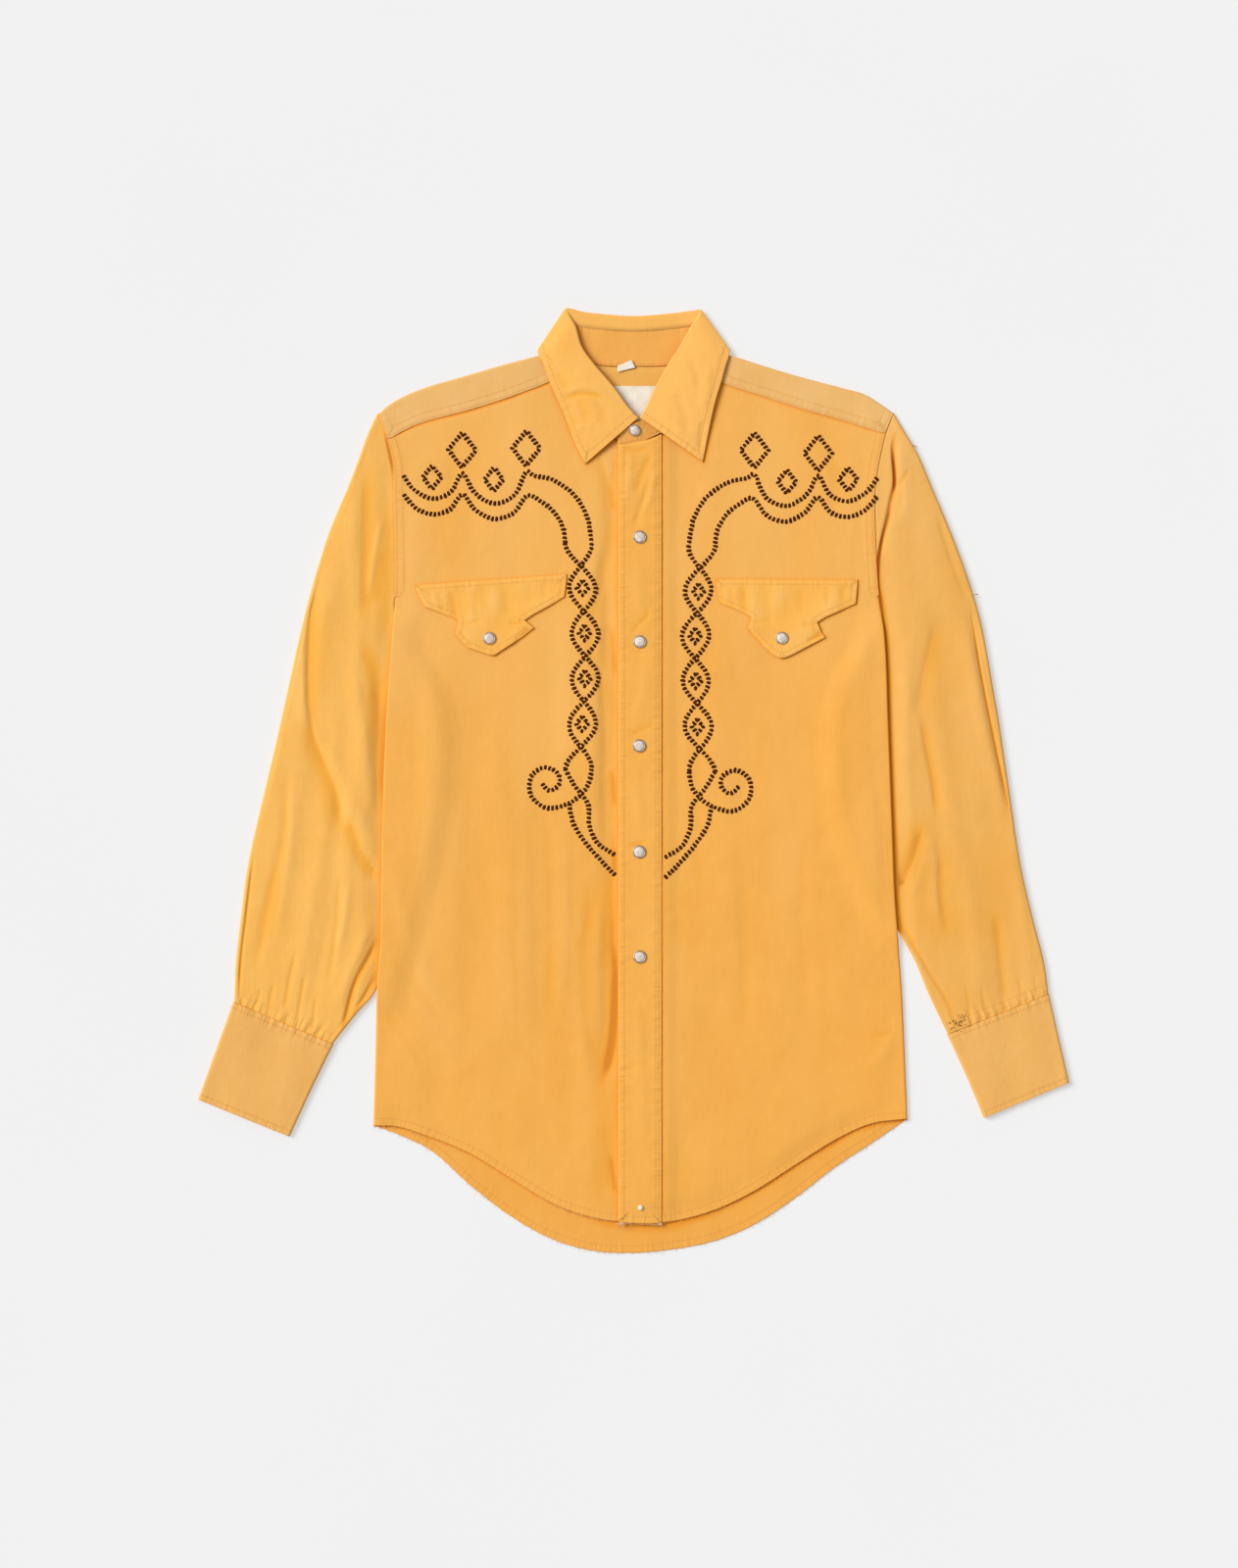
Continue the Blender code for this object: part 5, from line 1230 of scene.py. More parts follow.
# ------------------------------------------------------------------ sleeves
Arm = namedtuple("Arm", "ox oy ix iy")
ARM_LEFT = (
    Arm(-223.6, 314.6, -220.6, 312.6),
    Arm(-231.0, 298.5, -215.0, 299.0),
    Arm(-238.5, 277.5, -209.4, 280.0),
    Arm(-248.5, 251.5, -208.0, 252.0),
    Arm(-263.0, 217.0, -207.2, 218.0),
    Arm(-275.0, 180.0, -206.8, 186.0),
    Arm(-283.5, 149.0, -208.0, UNDERARM),
    Arm(-290.5, 120.0, -211.2, 130.0),
    Arm(-296.0, 95.0, -205.0, 110.0),
    Arm(-302.0, 68.0, -190.0, 86.0),
    Arm(-310.0, 32.0, -179.0, 52.0),
    Arm(-319.0, -6.0, -178.5, -4.0),
    Arm(-334.0, -72.0, -192.5, -75.0),
    Arm(-341.0, -124.0, -208.0, -135.0),
    Arm(-345.0, -160.0, -222.5, -181.0),
    Arm(-345.6, -177.0, -240.0, -203.0),
    Arm(-346.3, -192.3, -260.3, -228.7),
)
ARM_RIGHT = (
    Arm(227.0, 315.2, 223.7, 313.2),
    Arm(236.5, 299.0, 218.4, 299.5),
    Arm(247.0, 281.0, 214.2, 279.0),
    Arm(259.5, 251.5, 209.4, 252.0),
    Arm(274.0, 217.0, 209.6, 216.0),
    Arm(287.0, 183.0, 211.0, 184.0),
    Arm(297.0, 152.0, 213.6, UNDERARM),
    Arm(303.0, 128.0, 218.8, 131.0),
    Arm(309.0, 95.0, 210.0, 110.0),
    Arm(312.5, 74.0, 196.0, 86.0),
    Arm(316.5, 52.0, 187.5, 54.0),
    Arm(325.0, -5.0, 187.0, -6.0),
    Arm(335.0, -71.0, 202.0, -76.0),
    Arm(345.0, -116.0, 223.0, -120.0),
    Arm(354.6, -153.0, 243.0, -156.0),
    Arm(357.8, -171.0, 255.0, -185.0),
    Arm(359.4, -185.3, 271.8, -220.3),
)
ARMHOLE_ROWS = 6


def sleeve_parts(s, x, y):
    """Height of the sleeve's upper cloth: level with the front at the armhole, pressed flat
    beneath the body, and full where it lies open; and how freely it creases."""
    edge = left_edge(y) if s > 0 else right_edge(y)
    out = s * (edge - x)
    folds = SLEEVE_LEFT_FOLDS if s > 0 else SLEEVE_RIGHT_FOLDS
    near = mix(SLEEVE_UNDER, HOLLOW, ease(128.0, 156.0, y))
    away = ease(-206.0, -176.0, y) if s > 0 else ease(-168.0, -136.0, y)
    opened = np.maximum(ease(1.0, 18.0, out), 1.0 - away)
    free = ease(1.0, 22.0, out) * ease(-196.0, -150.0, y)
    z = CLOTH / 2 + mix(near, SLEEVE_RISE, opened) + 0.5 * free * relief(folds, x, y)
    clear = np.maximum(ease(0.5, 8.0, out), 1.0 - away)
    return z, clear, out


BACK_N, TURN_N, FRONT_N = 14, 10, 110
LAP_CELLS = 6


def tube_ring(o, i, top, low, closed, lap=0.0, back_n=BACK_N, turn_n=TURN_N, front_n=FRONT_N):
    """One ring: inner edge along the back, round the outer fold, and along the front again.
    An open ring runs on beneath the body by its lap."""
    o, i = np.array(o, float), np.array(i, float)
    across = (i - o) / np.linalg.norm(i - o)
    near = o + across * 3
    r = (float(top(near[0], near[1])) - low) / 2
    start = o + across * (CLOTH / 2 + r)
    far = i - across * 3
    ri = (float(top(far[0], far[1])) - low) / 2
    stop = i - across * (CLOTH / 2 + ri) if closed else i
    end = stop if closed else i + across * lap
    ring = []
    for t in np.linspace(1.0, 0.0, back_n + 1)[:-1]:
        p = mix(start, end, t)
        past = float((p - i) @ across)
        ring.append((p[0], p[1], low + (0.0 if closed else 0.75 * float(ease(-2.4, -0.2, past)) * min(lap / 2.0, 1.0))))
    for k in range(turn_n + 1):
        a = math.radians(-90.0 + 180.0 * k / turn_n)
        p = start - across * r * math.cos(a)
        ring.append((p[0], p[1], low + r + r * math.sin(a)))
    t = np.linspace(0.0, 1.0, front_n + 1)[1:]
    p = start[None] + (stop - start)[None] * t[:, None]
    span = np.linalg.norm(stop - start)
    z_top = top(p[:, 0], p[:, 1])
    z0, z1 = low + 2 * r, low + 2 * ri
    z = mix(z_top, z0, ease(6.0, 0.0, t * span))
    if closed:
        z = mix(z, z1, ease(7.0, 0.0, (1 - t) * span))
    else:
        z = z - 0.22 * ease(2.2, 0.4, (1 - t) * span) * min(lap / 2.0, 1.0)
    ring += list(zip(p[:, 0], p[:, 1], z))
    for k in range(1, turn_n):
        if closed:
            a = math.radians(90.0 - 180.0 * k / turn_n)
            q = stop + across * ri * math.cos(a)
            ring.append((q[0], q[1], low + ri + ri * math.sin(a)))
        elif k <= LAP_CELLS:
            q = i + across * lap * k / LAP_CELLS
            ring.append((q[0], q[1], z[-1] - 0.1 * min(k, 2) * min(lap / 2.0, 1.0)))
        else:
            ring.append((np.nan,) * 3)
    return ring


def sleeve(name, s, table, hand, material):
    rows, ends = [], len(table) - 1
    ks = cells(215, 520.0, True, True) * ends
    creases, strokes = (LEFT_ARM_CREASES, LEFT_ARM_STROKES) if s > 0 else (RIGHT_ARM_CREASES, RIGHT_ARM_STROKES)
    for k in ks:
        a = station(table, k)
        closed = k >= ARMHOLE_ROWS - 0.02
        edge = float(left_edge(a[3]) if s > 0 else right_edge(a[3]))
        under = 0.7 * float(ease(166.0, 156.0, a[3])) + 1.2 * float(ease(152.0, 140.0, a[3])) + 2.6 * float(ease(134.0, 122.0, a[3]))
        deep = s * max(s * a[2], s * (edge + s * under))
        a[2] = mix(deep, edge + s * under, float(ease(122.0, 134.0, a[3]))) if a[3] > 60.0 else a[2]
        lap = 4.6 * float(ease(150.0, 168.0, a[3]))

        def top(x, y):
            return sleeve_parts(s, x, y)[0]
        rows.append(tube_ring(a[:2], a[2:], top, CLOTH / 2, closed, lap))
    P = np.array(rows)
    first = BACK_N + TURN_N + 1
    front = P[:, first:first + FRONT_N]
    X, Y = front[:, :, 0], front[:, :, 1]
    _, clear, out = sleeve_parts(s, X, Y)
    bent, tint = stroke_fields(strokes, X, Y)
    run = np.linspace(0.0, 1.0, FRONT_N + 1)[1:][None] * np.linalg.norm(front[:, -1, :2] - front[:, 0, :2], axis=1)[:, None]
    span = run[:, -1:]
    fade = ease(0.0, 2.5, run) * ease(0.0, 4.0, span - run)
    w = run / span
    toward = ease(ends - 0.75, ends, ks)[:, None] * ease(ends + 0.001, ends - 0.04, ks)[:, None]
    tucks = (0.42 * np.sin(w * 47.0 + 2.2 * np.sin(w * 9.0) + s) + 0.26 * np.sin(w * 83.0 + 2.6 * np.sin(w * 5.0)))
    rise = clear * (creased(creases, X, Y) + bent + 0.7 * waves(X, Y)) + toward * tucks
    P[:, first:first + FRONT_N, 2] += fade * rise
    worn = np.zeros(P.shape[:2])
    # painted light and shade on the upper cloth: along its creases, strokes and tucks, and darker beside the body's
    # edge; on the right sleeve a painted shadow of the body and painted light higher up, on the left painted shade
    # along the top of the armhole
    under = ease(7.0, 0.0, out) * ease(150.0, 110.0, Y)
    arm_shading = 0.35 * creased(creases, X, Y) + tint + 0.6 * waves(X * 0.8, Y * 0.6) + 0.5 * toward * tucks - 0.9 * under
    if s < 0:
        arm_shading = (arm_shading - 1.9 * ease(6.5, 0.5, out) * ease(190.0, 150.0, Y) + 0.5 * ease(150.0, 230.0, Y)
                - 0.6 * ease(-20.0, -80.0, Y) * ease(-170.0, -120.0, Y))
    else:
        arm_shading = arm_shading - 1.9 * ease(3.2, 0.2, out) * ease(262.0, 272.0, Y) * ease(310.0, 298.0, Y)
    worn[:, first:first + FRONT_N] = arm_shading
    # the end runs on inside the cuff
    o, i = np.array(hand[0]), np.array(hand[1])
    across = (i - o) / np.linalg.norm(i - o)
    down = np.array([across[1], -across[0]])
    down = down if down[1] < 0 else -down
    for share, depth in ((0.5, 0.6), (1.0, 3.4)):
        ring = np.array(tube_ring(o + down * depth + across * 2.8, i + down * depth - across * 2.8,
                                  lambda x, y: 3.05 + 0.0 * x, 2.0, True))
        ring = mix(P[len(ks) - 1], ring, share) if share < 1.0 else ring
        P = np.concatenate([P, ring[None]])
        worn = np.concatenate([worn, worn[-1:] * 0.5 - 0.3])
    # its head runs on beneath the corner of the yoke
    ahead = np.array(station(table, 0)[:2]) - np.array(station(table, 1)[:2])
    ahead /= np.linalg.norm(ahead)
    middle = 0.5 * (np.nanmin(P[0, :, 2]) + np.nanmax(P[0, :, 2]))
    head = [P[0] + np.array([ahead[0] * d, ahead[1] * d, 0.0]) for d in (3.4, 1.4)]
    for ring, flat in zip(head, (0.5, 0.8)):
        ring[:, 2] = middle + (ring[:, 2] - middle) * flat
    P = np.concatenate([head[0][None], head[1][None], P])
    worn = np.concatenate([worn[:1], worn[:1], worn])
    cloth(name, P, material, wrap=True, seam=[P[len(ks) + 1]], painted_shading=worn, replaces=name)



Cuff = namedtuple("Cuff", "ox oy ix iy")
CUFF_LEFT = (
    Cuff(-346.6, -192.6, -260.2, -229.2),
    Cuff(-361.0, -232.0, -279.0, -267.6),
    Cuff(-377.2, -277.2, -298.2, -309.2),
)
CUFF_RIGHT = (
    Cuff(359.6, -185.6, 271.6, -220.6),
    Cuff(367.6, -221.0, 288.0, -256.0),
    Cuff(377.2, -262.4, 303.4, -293.0),
)


sleeve("sleeve_left", 1.0, ARM_LEFT, ((-346.6, -192.6), (-260.2, -229.2)), M["sleeve_left"])
sleeve("sleeve_right", -1.0, ARM_RIGHT, ((359.6, -185.6), (271.6, -220.6)), M["sleeve_right"])


def cuff(name, s, table):
    rows = []
    for t in cells(56, 88.0, True, True):
        a = station(table, t * 2.0)
        low = CUFF_CLOTH / 2

        def top(x, y):
            o, i = np.array(a[:2]), np.array(a[2:])
            w = ((np.asarray(x) - o[0]) * (i[0] - o[0]) + (np.asarray(y) - o[1]) * (i[1] - o[1])) / ((i - o) @ (i - o))
            puckers = 0.34 * np.sin(w * 52.0 + 2.0 * np.sin(w * 11.0 + s)) + 0.16 * np.sin(w * 96.0)
            soft = 0.35 * np.sin(w * 7.0 + t * 2.6 + s) + 0.22 * np.sin(w * 13.0 - t * 4.0)
            return low + CUFF_RISE + puckers * ease(0.20, 0.0, t) + soft
        rows.append(tube_ring(a[:2], a[2:], top, low, True, 0.0, 20, 10, 66))
    P = np.array(rows)
    cloth(name, P, M["cuff"], wrap=True, wall=CUFF_CLOTH - 0.2, hem=[P[0], P[-1]], replaces=name)


cuff("cuff_left", 1.0, CUFF_LEFT)
cuff("cuff_right", -1.0, CUFF_RIGHT)

# ------------------------------------------------------------------ collar
Collar = namedtuple("Collar", "nx ny nz rx ry rz turn lx ly lz")
COLLAR = (
    Collar(-2.0, 291.6, 3.7, 3.0, 312.2, 8.0, 90, -42.1, 273.3, 5.2),
    Collar(-14.0, 294.2, 3.6, -6.4, 322.2, 8.2, 90, -51.4, 292.0, 5.8),
    Collar(-27.4, 303.6, 3.7, -18.6, 339.2, 8.4, 90, -59.5, 314.1, 6.2),
    Collar(-40.4, 320.0, 3.8, -34.2, 357.4, 8.3, 88, -65.9, 328.5, 6.4),
    Collar(-51.4, 337.6, 3.8, -45.6, 373.6, 7.8, 80, -72.7, 343.8, 6.5),
    Collar(-60.8, 355.0, 3.7, -50.8, 390.6, 7.4, 64, -78.4, 360.0, 6.6),
    Collar(-60.9, 367.0, 3.4, -55.8, 399.4, 5.9, 38, -82.2, 367.0, 5.4),
    Collar(-61.4, 375.2, 2.8, -58.6, 406.0, 4.6, 0, -82.6, 373.0, 3.9),
    Collar(-56.0, 371.8, 2.4, -54.0, 406.0, 3.5, -42, -78.6, 370.8, 0.6),
    Collar(-46.0, 366.6, 2.1, -45.0, 404.0, 3.0, -72, -61.0, 358.6, 0.5),
    Collar(-30.0, 359.4, 1.9, -32.0, 402.4, 2.7, -90, -36.0, 355.0, 0.5),
    Collar(0.0, 358.4, 1.9, 0.0, 400.2, 2.7, -90, 0.0, 353.4, 0.5),
    Collar(31.0, 359.4, 1.9, 31.0, 402.4, 2.7, -90, 36.0, 355.0, 0.5),
    Collar(49.4, 367.2, 2.1, 44.0, 404.0, 3.0, -72, 62.0, 358.6, 0.5),
    Collar(56.4, 371.8, 2.4, 53.6, 404.8, 3.5, -42, 79.0, 370.8, 0.6),
    Collar(61.0, 375.2, 2.8, 58.0, 404.8, 4.4, 0, 83.0, 372.6, 4.0),
    Collar(60.4, 367.0, 3.4, 55.6, 398.6, 5.8, 38, 82.4, 366.6, 5.8),
    Collar(60.4, 355.0, 3.7, 50.0, 390.4, 7.4, 64, 79.6, 358.4, 6.7),
    Collar(54.0, 336.8, 3.8, 40.0, 372.4, 8.8, 80, 76.4, 346.4, 6.9),
    Collar(43.6, 318.8, 3.9, 30.6, 358.0, 9.5, 88, 71.8, 331.1, 7.0),
    Collar(30.2, 304.4, 4.7, 20.0, 339.2, 9.7, 90, 68.1, 316.6, 6.7),
    Collar(16.4, 297.0, 4.9, 11.4, 320.0, 9.8, 90, 64.2, 297.1, 5.9),
    Collar(4.7, 291.7, 5.0, 6.4, 312.2, 9.8, 90, 59.9, 275.0, 5.2),
)
STAND_TOP = 11.0
STAND_TOP_FRONT = 2.4
Tab = namedtuple("Tab", "nx ny nz tx ty tz")
RIGHT_END = (Tab(-5.0, 290.2, 5.1, -4.6, 307.6, 7.3), Tab(-14.4, 288.6, 5.1, -13.2, 301.0, 6.2))
LEFT_END = (Tab(8.0, 292.4, 3.6, 10.0, 304.0, 4.8), Tab(18.0, 295.4, 3.6, 17.4, 302.0, 4.3))
LEAF_STROKES = (
    Stroke(((-62.0, 327.0), (-56.5, 330.1), (-43.8, 333.5), (-29.8, 331.4), (-23.5, 327.0)), 1.8, 3.2, -0.6, -1.0),
    Stroke(((-60.0, 334.0), (-45.0, 339.0), (-29.0, 336.5), (-20.0, 330.0)), 4.0, 2.6, 0.45, 0.25),
    Stroke(((-50.0, 330.0), (-43.0, 318.0), (-40.0, 300.0)), 2.4, 4.4, -0.26, -0.35),
    Stroke(((-34.0, 329.0), (-29.0, 318.0), (-30.0, 306.0)), 2.4, 3.8, -0.26, -0.35),
    Stroke(((-27.0, 324.0), (-24.0, 313.0), (-26.0, 302.0)), 3.4, 3.4, -0.22, -0.25),
    Stroke(((-66.0, 352.0), (-60.0, 342.0), (-54.0, 338.0)), 3.0, 3.0, -0.4, -0.5),
    Stroke(((-52.0, 300.0), (-44.0, 306.0), (-34.0, 304.0)), 4.0, 4.0, 0.5, 0.3),
    Stroke(((60.0, 312.0), (58.0, 300.0), (57.0, 285.0)), 2.4, 2.4, -0.6, -0.9),
    Stroke(((66.0, 360.0), (64.0, 340.0), (60.0, 318.0)), 5.0, 4.0, 0.5, 0.3),
    Stroke(((34.0, 336.0), (42.0, 320.0), (48.0, 298.0)), 4.0, 5.0, -0.5, -0.4),
    Stroke(((22.0, 322.0), (34.0, 310.0), (44.0, 296.0)), 4.0, 4.0, 0.4, 0.3),
    Stroke(((48.0, 366.0), (54.0, 350.0), (56.0, 336.0)), 3.5, 3.5, -0.35, -0.4),
)


def collar_frame(k):
    c = Collar(*station(COLLAR, k))
    n, r = Vector((c.nx, c.ny, c.nz)), Vector((c.rx, c.ry, c.rz))
    leaf = Vector((c.lx, c.ly, c.lz))
    up = Vector((r.x - n.x, r.y - n.y, 0)).normalized()
    outward = Vector((up.y, -up.x, 0))
    if c.rx < 0:
        outward = -outward
    a = math.radians(c.turn)
    w = outward * math.cos(a) + Vector((0, 0, 1)) * math.sin(a)
    away = Vector((r.x - leaf.x, r.y - leaf.y, 0)).normalized()
    tip = (up + away).normalized()
    half = LEAF_RISE + 0.5 * float(ease(85.0, 20.0, abs(c.turn)))
    return c, n, r, leaf, up, w * half, tip * half


def stand_top(k):
    c, n, r, leaf, up, w, tip = collar_frame(k)
    drop = mix(STAND_TOP, STAND_TOP_FRONT, float(ease(-60.0, 20.0, c.turn)))
    arm = r - w
    return n, arm - (arm - n).normalized() * drop, (arm - n).normalized()


def stand_row(k):
    n, q, d = stand_top(k)
    return [tuple(n.lerp(q, t)) for t in STAND_CELLS]


def tab_row(t):
    a, b = Vector((t.nx, t.ny, t.nz)), Vector((t.tx, t.ty, t.tz))
    return [tuple(a.lerp(b, v)) for v in STAND_CELLS]


STAND_CELLS = [float(v) for v in cells(16, 30.0, True, True)]
last = len(COLLAR) - 1


def tab_rows(tabs, start):
    """Rounded end of the stand: smooth rows from the collar's end out to the tab's tip."""
    a, b = start, tabs
    rows = []
    for t in spaced(8)[1:]:
        seg = t * len(b)
        j = min(int(seg), len(b) - 1)
        lo = a if j == 0 else b[j - 1]
        rows.append(Tab(*[mix(p, q, seg - j) for p, q in zip(lo, b[j])]))
    return rows


def end_tab(k):
    n, q, d = stand_top(k)
    return Tab(n.x, n.y, n.z, q.x, q.y, q.z)


rows = [tab_row(t) for t in tab_rows(LEFT_END, end_tab(0.0))[::-1]]
rows += [stand_row(t * last) for t in spaced(200)]
rows += [tab_row(t) for t in tab_rows(RIGHT_END, end_tab(float(last)))]
P = np.array(rows)
rho = np.linspace(0, 1, P.shape[0])[:, None]
P[:, :, 2] += 0.12 * np.sin(rho * 190.0 + 2 * np.sin(rho * 31.0)) * ease(0.25, 0.9, np.array(STAND_CELLS))[None]
cloth("collar_stand", P, M["stand"], hem=[P[:, 0], P[:, -1]], replaces="collar_stand")


def leaf_row(k):
    c, n, r, leaf, up, w, tip = collar_frame(k)
    _, q, d = stand_top(k)
    arm = r - w
    over = r + w
    lap = q - d * 1.1 - w.normalized() * 0.34
    row = [tuple(lap), tuple(q.lerp(arm, 0.3)), tuple(q.lerp(arm, 0.66))]
    shown = float(ease(20.0, 80.0, c.turn))
    for a in np.linspace(0.0, 180.0, 13):
        b = math.radians(a)
        row.append(tuple(r - w * math.cos(b) + tip * math.sin(b)))
    for t in cells(58, 45.0, False, True)[1:]:
        p = over.lerp(leaf, float(t))
        p.z += 1.1 * math.sin(math.pi * t) * shown
        row.append(tuple(p))
    return [(x, y, max(z, CLOTH / 2 + 0.02)) for x, y, z in row]


stations = [float(t) * last for t in cells(360, 420.0, True, True)]
P = np.array([leaf_row(k) for k in stations])
shown = np.array([float(ease(20.0, 80.0, Collar(*station(COLLAR, k)).turn)) for k in stations])[:, None]
bent, tint = stroke_fields(LEAF_STROKES, P[:, 16:, 0], P[:, 16:, 1])
inward = np.linspace(0.0, 1.0, P.shape[1] - 16)[None]
P[:, 16:, 2] += shown * bent * ease(0.0, 0.15, inward)
worn = np.zeros(P.shape[:2])
# painted light and shade along the leaf's strokes and waves; painted light on the right leaf, which tilts away from the
# light, and slightly darker on the left
worn[:, 16:] = shown * tint + 0.5 * waves(P[:, 16:, 0] * 1.6, P[:, 16:, 1] * 1.6) + 1.0 * ease(0.0, 20.0, P[:, 16:, 0]) - 0.25 * ease(0.0, -20.0, P[:, 16:, 0])
cloth("collar_leaf", P, M["collar"], hem=[P[:, -1], P[0, 15:], P[-1, 15:]], painted_shading=worn, replaces="collar_leaf")

# ------------------------------------------------------------------ flaps
Lobe = namedtuple("Lobe", "down left right")
FLAP_LEFT = (
    Lobe(0.0, -66.3, 66.3),
    Lobe(10.0, -63.2, 64.6),
    Lobe(19.5, -59.0, 62.7),
    Lobe(26.0, -45.0, 50.0),
    Lobe(33.0, -30.4, 34.6),
    Lobe(37.4, -31.0, 26.8),
    Lobe(44.5, -34.2, 34.2),
    Lobe(51.0, -29.4, 25.0),
    Lobe(57.5, -23.9, 13.4),
    Lobe(63.0, -11.2, 3.4),
    Lobe(65.8, -4.0, -1.0),
)
FLAP_RIGHT = (
    Lobe(0.0, -61.8, 61.8),
    Lobe(10.0, -60.4, 61.0),
    Lobe(20.6, -58.0, 60.0),
    Lobe(26.6, -43.0, 47.0),
    Lobe(32.4, -30.8, 34.0),
    Lobe(37.0, -31.4, 26.6),
    Lobe(43.8, -33.6, 29.6),
    Lobe(50.2, -27.4, 33.6),
    Lobe(57.4, -20.0, 19.6),
    Lobe(65.0, -11.6, 5.6),
    Lobe(68.2, -5.6, -1.6),
)
FLAP_AT_LEFT = (-123.9, 173.4, math.radians(4.05))
FLAP_AT_RIGHT = (132.4, 173.4, math.radians(-0.4))


FLAP_STROKES = (
    Stroke(((-54.0, 5.0), (-53.0, 14.0), (-50.0, 24.0)), 1.4, 2.4, -0.35, -0.6),
    Stroke(((-45.0, 5.0), (-44.0, 16.0), (-42.0, 27.0)), 1.2, 2.2, -0.45, -0.8),
    Stroke(((-34.0, 5.5), (-33.0, 22.0), (-31.0, 36.0)), 1.3, 2.6, -0.5, -0.8),
    Stroke(((-12.0, 6.0), (-14.0, 24.0), (-11.0, 44.0)), 2.0, 3.0, -0.3, -0.4),
    Stroke(((14.0, 6.0), (12.0, 20.0), (15.0, 34.0)), 2.2, 3.4, -0.3, -0.4),
    Stroke(((34.0, 5.0), (33.0, 14.0), (36.0, 24.0)), 1.6, 2.6, -0.35, -0.5),
    Stroke(((48.0, 5.0), (46.0, 12.0), (47.0, 20.0)), 1.6, 2.4, -0.3, -0.4),
    Stroke(((-31.0, 41.0), (-25.0, 50.0), (-17.0, 58.0)), 1.3, 2.4, -0.6, -1.0),
    Stroke(((33.0, 43.5), (25.0, 50.0), (16.0, 55.0)), 1.6, 2.8, -0.8, -1.3),
    Stroke(((27.0, 37.5), (22.0, 40.0), (12.0, 39.0)), 1.3, 2.4, -0.4, -0.9),
    Stroke(((-30.0, 35.0), (-22.0, 37.0), (-12.0, 34.0)), 1.6, 2.6, -0.3, -0.5),
)


def flap_grid(where, table, s):
    x0, y0, angle = where
    c, sn = math.cos(angle), math.sin(angle)
    down = np.concatenate([[0.0, LIP], np.linspace(2.0, table[-1].down, 74)])
    down = np.sort(np.unique(np.concatenate([down, [r.down for r in table]])))
    keys = [r.down for r in table]
    left = np.interp(down, keys, [r.left for r in table])
    right = np.interp(down, keys, [r.right for r in table])
    w = cells(64, 110.0, True, True)
    L = left[:, None] + (right - left)[:, None] * w[None]
    D = np.broadcast_to(down[:, None], L.shape)
    x, y = x0 + L * c + D * sn, y0 + L * sn - D * c
    lift = LAYER - 0.35 * ease(5.0, 0.0, D) + 0.6 * ease(0.0, 50.0, D) + 0.4 * ease(12.0, 34.0, D) * ease(-6.0, 30.0, L)
    folds = (0.46 * np.sin(L / 4.6 + 1.9 * np.sin(L / 15.0 + s) + 0.5 * s) * ease(1.0, 9.0, D) * ease(44.0, 14.0, D)
             + 0.5 * np.sin(L / 9.0 + D / 12.0 + s) * ease(6.0, 22.0, D))
    side = np.minimum(w, 1 - w)[None] * (right - left)[:, None]
    curl = 0.3 * ease(46.0, 66.0, D) + (0.12 * ease(8.0, 0.0, side) - 0.3 * ease(1.6, 0.2, side)) * ease(14.0, 22.0, D) - 0.45 * ease(6.0, 0.5, side)
    hollow = ease(8.0, 1.0, np.abs(L - 0.62 * D + 2.0)) * ease(38.0, 44.0, D) * ease(60.0, 50.0, D)
    bent, tint = stroke_fields(FLAP_STROKES, L * (1.0 if s < 1.0 else 0.94), D)
    # the second value is painted light on the fold tops, painted shade in the folds and the hollow, a little paler
    # overall
    return (np.stack([x, y, front_z(x, y) + lift + 0.6 * folds + curl * 0.6 - 0.2 * hollow + bent], -1),
            0.8 * folds + 0.3 - 0.6 * hollow + tint)


def flap_z(where, lx, down):
    x0, y0, angle = where
    x = x0 + lx * math.cos(angle) + down * math.sin(angle)
    y = y0 + lx * math.sin(angle) - down * math.cos(angle)
    return x, y, float(front_z(x, y)) + LAYER + 0.6 * float(ease(0.0, 50.0, down))


for name, where, table, s in (("flap_left", FLAP_AT_LEFT, FLAP_LEFT, 0.3), ("flap_right", FLAP_AT_RIGHT, FLAP_RIGHT, 2.1)):
    P, worn = flap_grid(where, table, s)
    cloth(name, P, M["flap"], hem=[P[0], P[:, 0], P[:, -1], P[-1]], painted_shading=worn, replaces=name)

# ------------------------------------------------------------------ where one layer lies over another
FALL = np.array((0.906, -0.423))


def nearest(points, line):
    """Distance to a line and the nearest place on it."""
    a, ab = line[:-1], line[1:] - line[:-1]
    l2 = np.maximum((ab * ab).sum(1), 1e-9)
    dist, place = np.empty(len(points)), np.empty((len(points), 2))
    for i in range(0, len(points), 4000):
        q = points[i:i + 4000]
        t = np.clip(((q[:, None] - a[None]) * ab[None]).sum(2) / l2[None], 0.0, 1.0)
        foot = a[None] + t[:, :, None] * ab[None]
        d = np.sqrt(((q[:, None] - foot) ** 2).sum(2))
        k = d.argmin(1)
        r = np.arange(len(q))
        dist[i:i + 4000], place[i:i + 4000] = d[r, k], foot[r, k]
    return dist, place


def within(points, ring):
    """Even-odd test against a closed outline."""
    a, b = ring, np.roll(ring, -1, axis=0)
    inside = np.zeros(len(points), bool)
    for (x0, y0), (x1, y1) in zip(a, b):
        if y0 != y1:
            cross = (points[:, 1] > y0) != (points[:, 1] > y1)
            inside ^= cross & (points[:, 0] < x0 + (points[:, 1] - y0) * (x1 - x0) / (y1 - y0))
    return inside


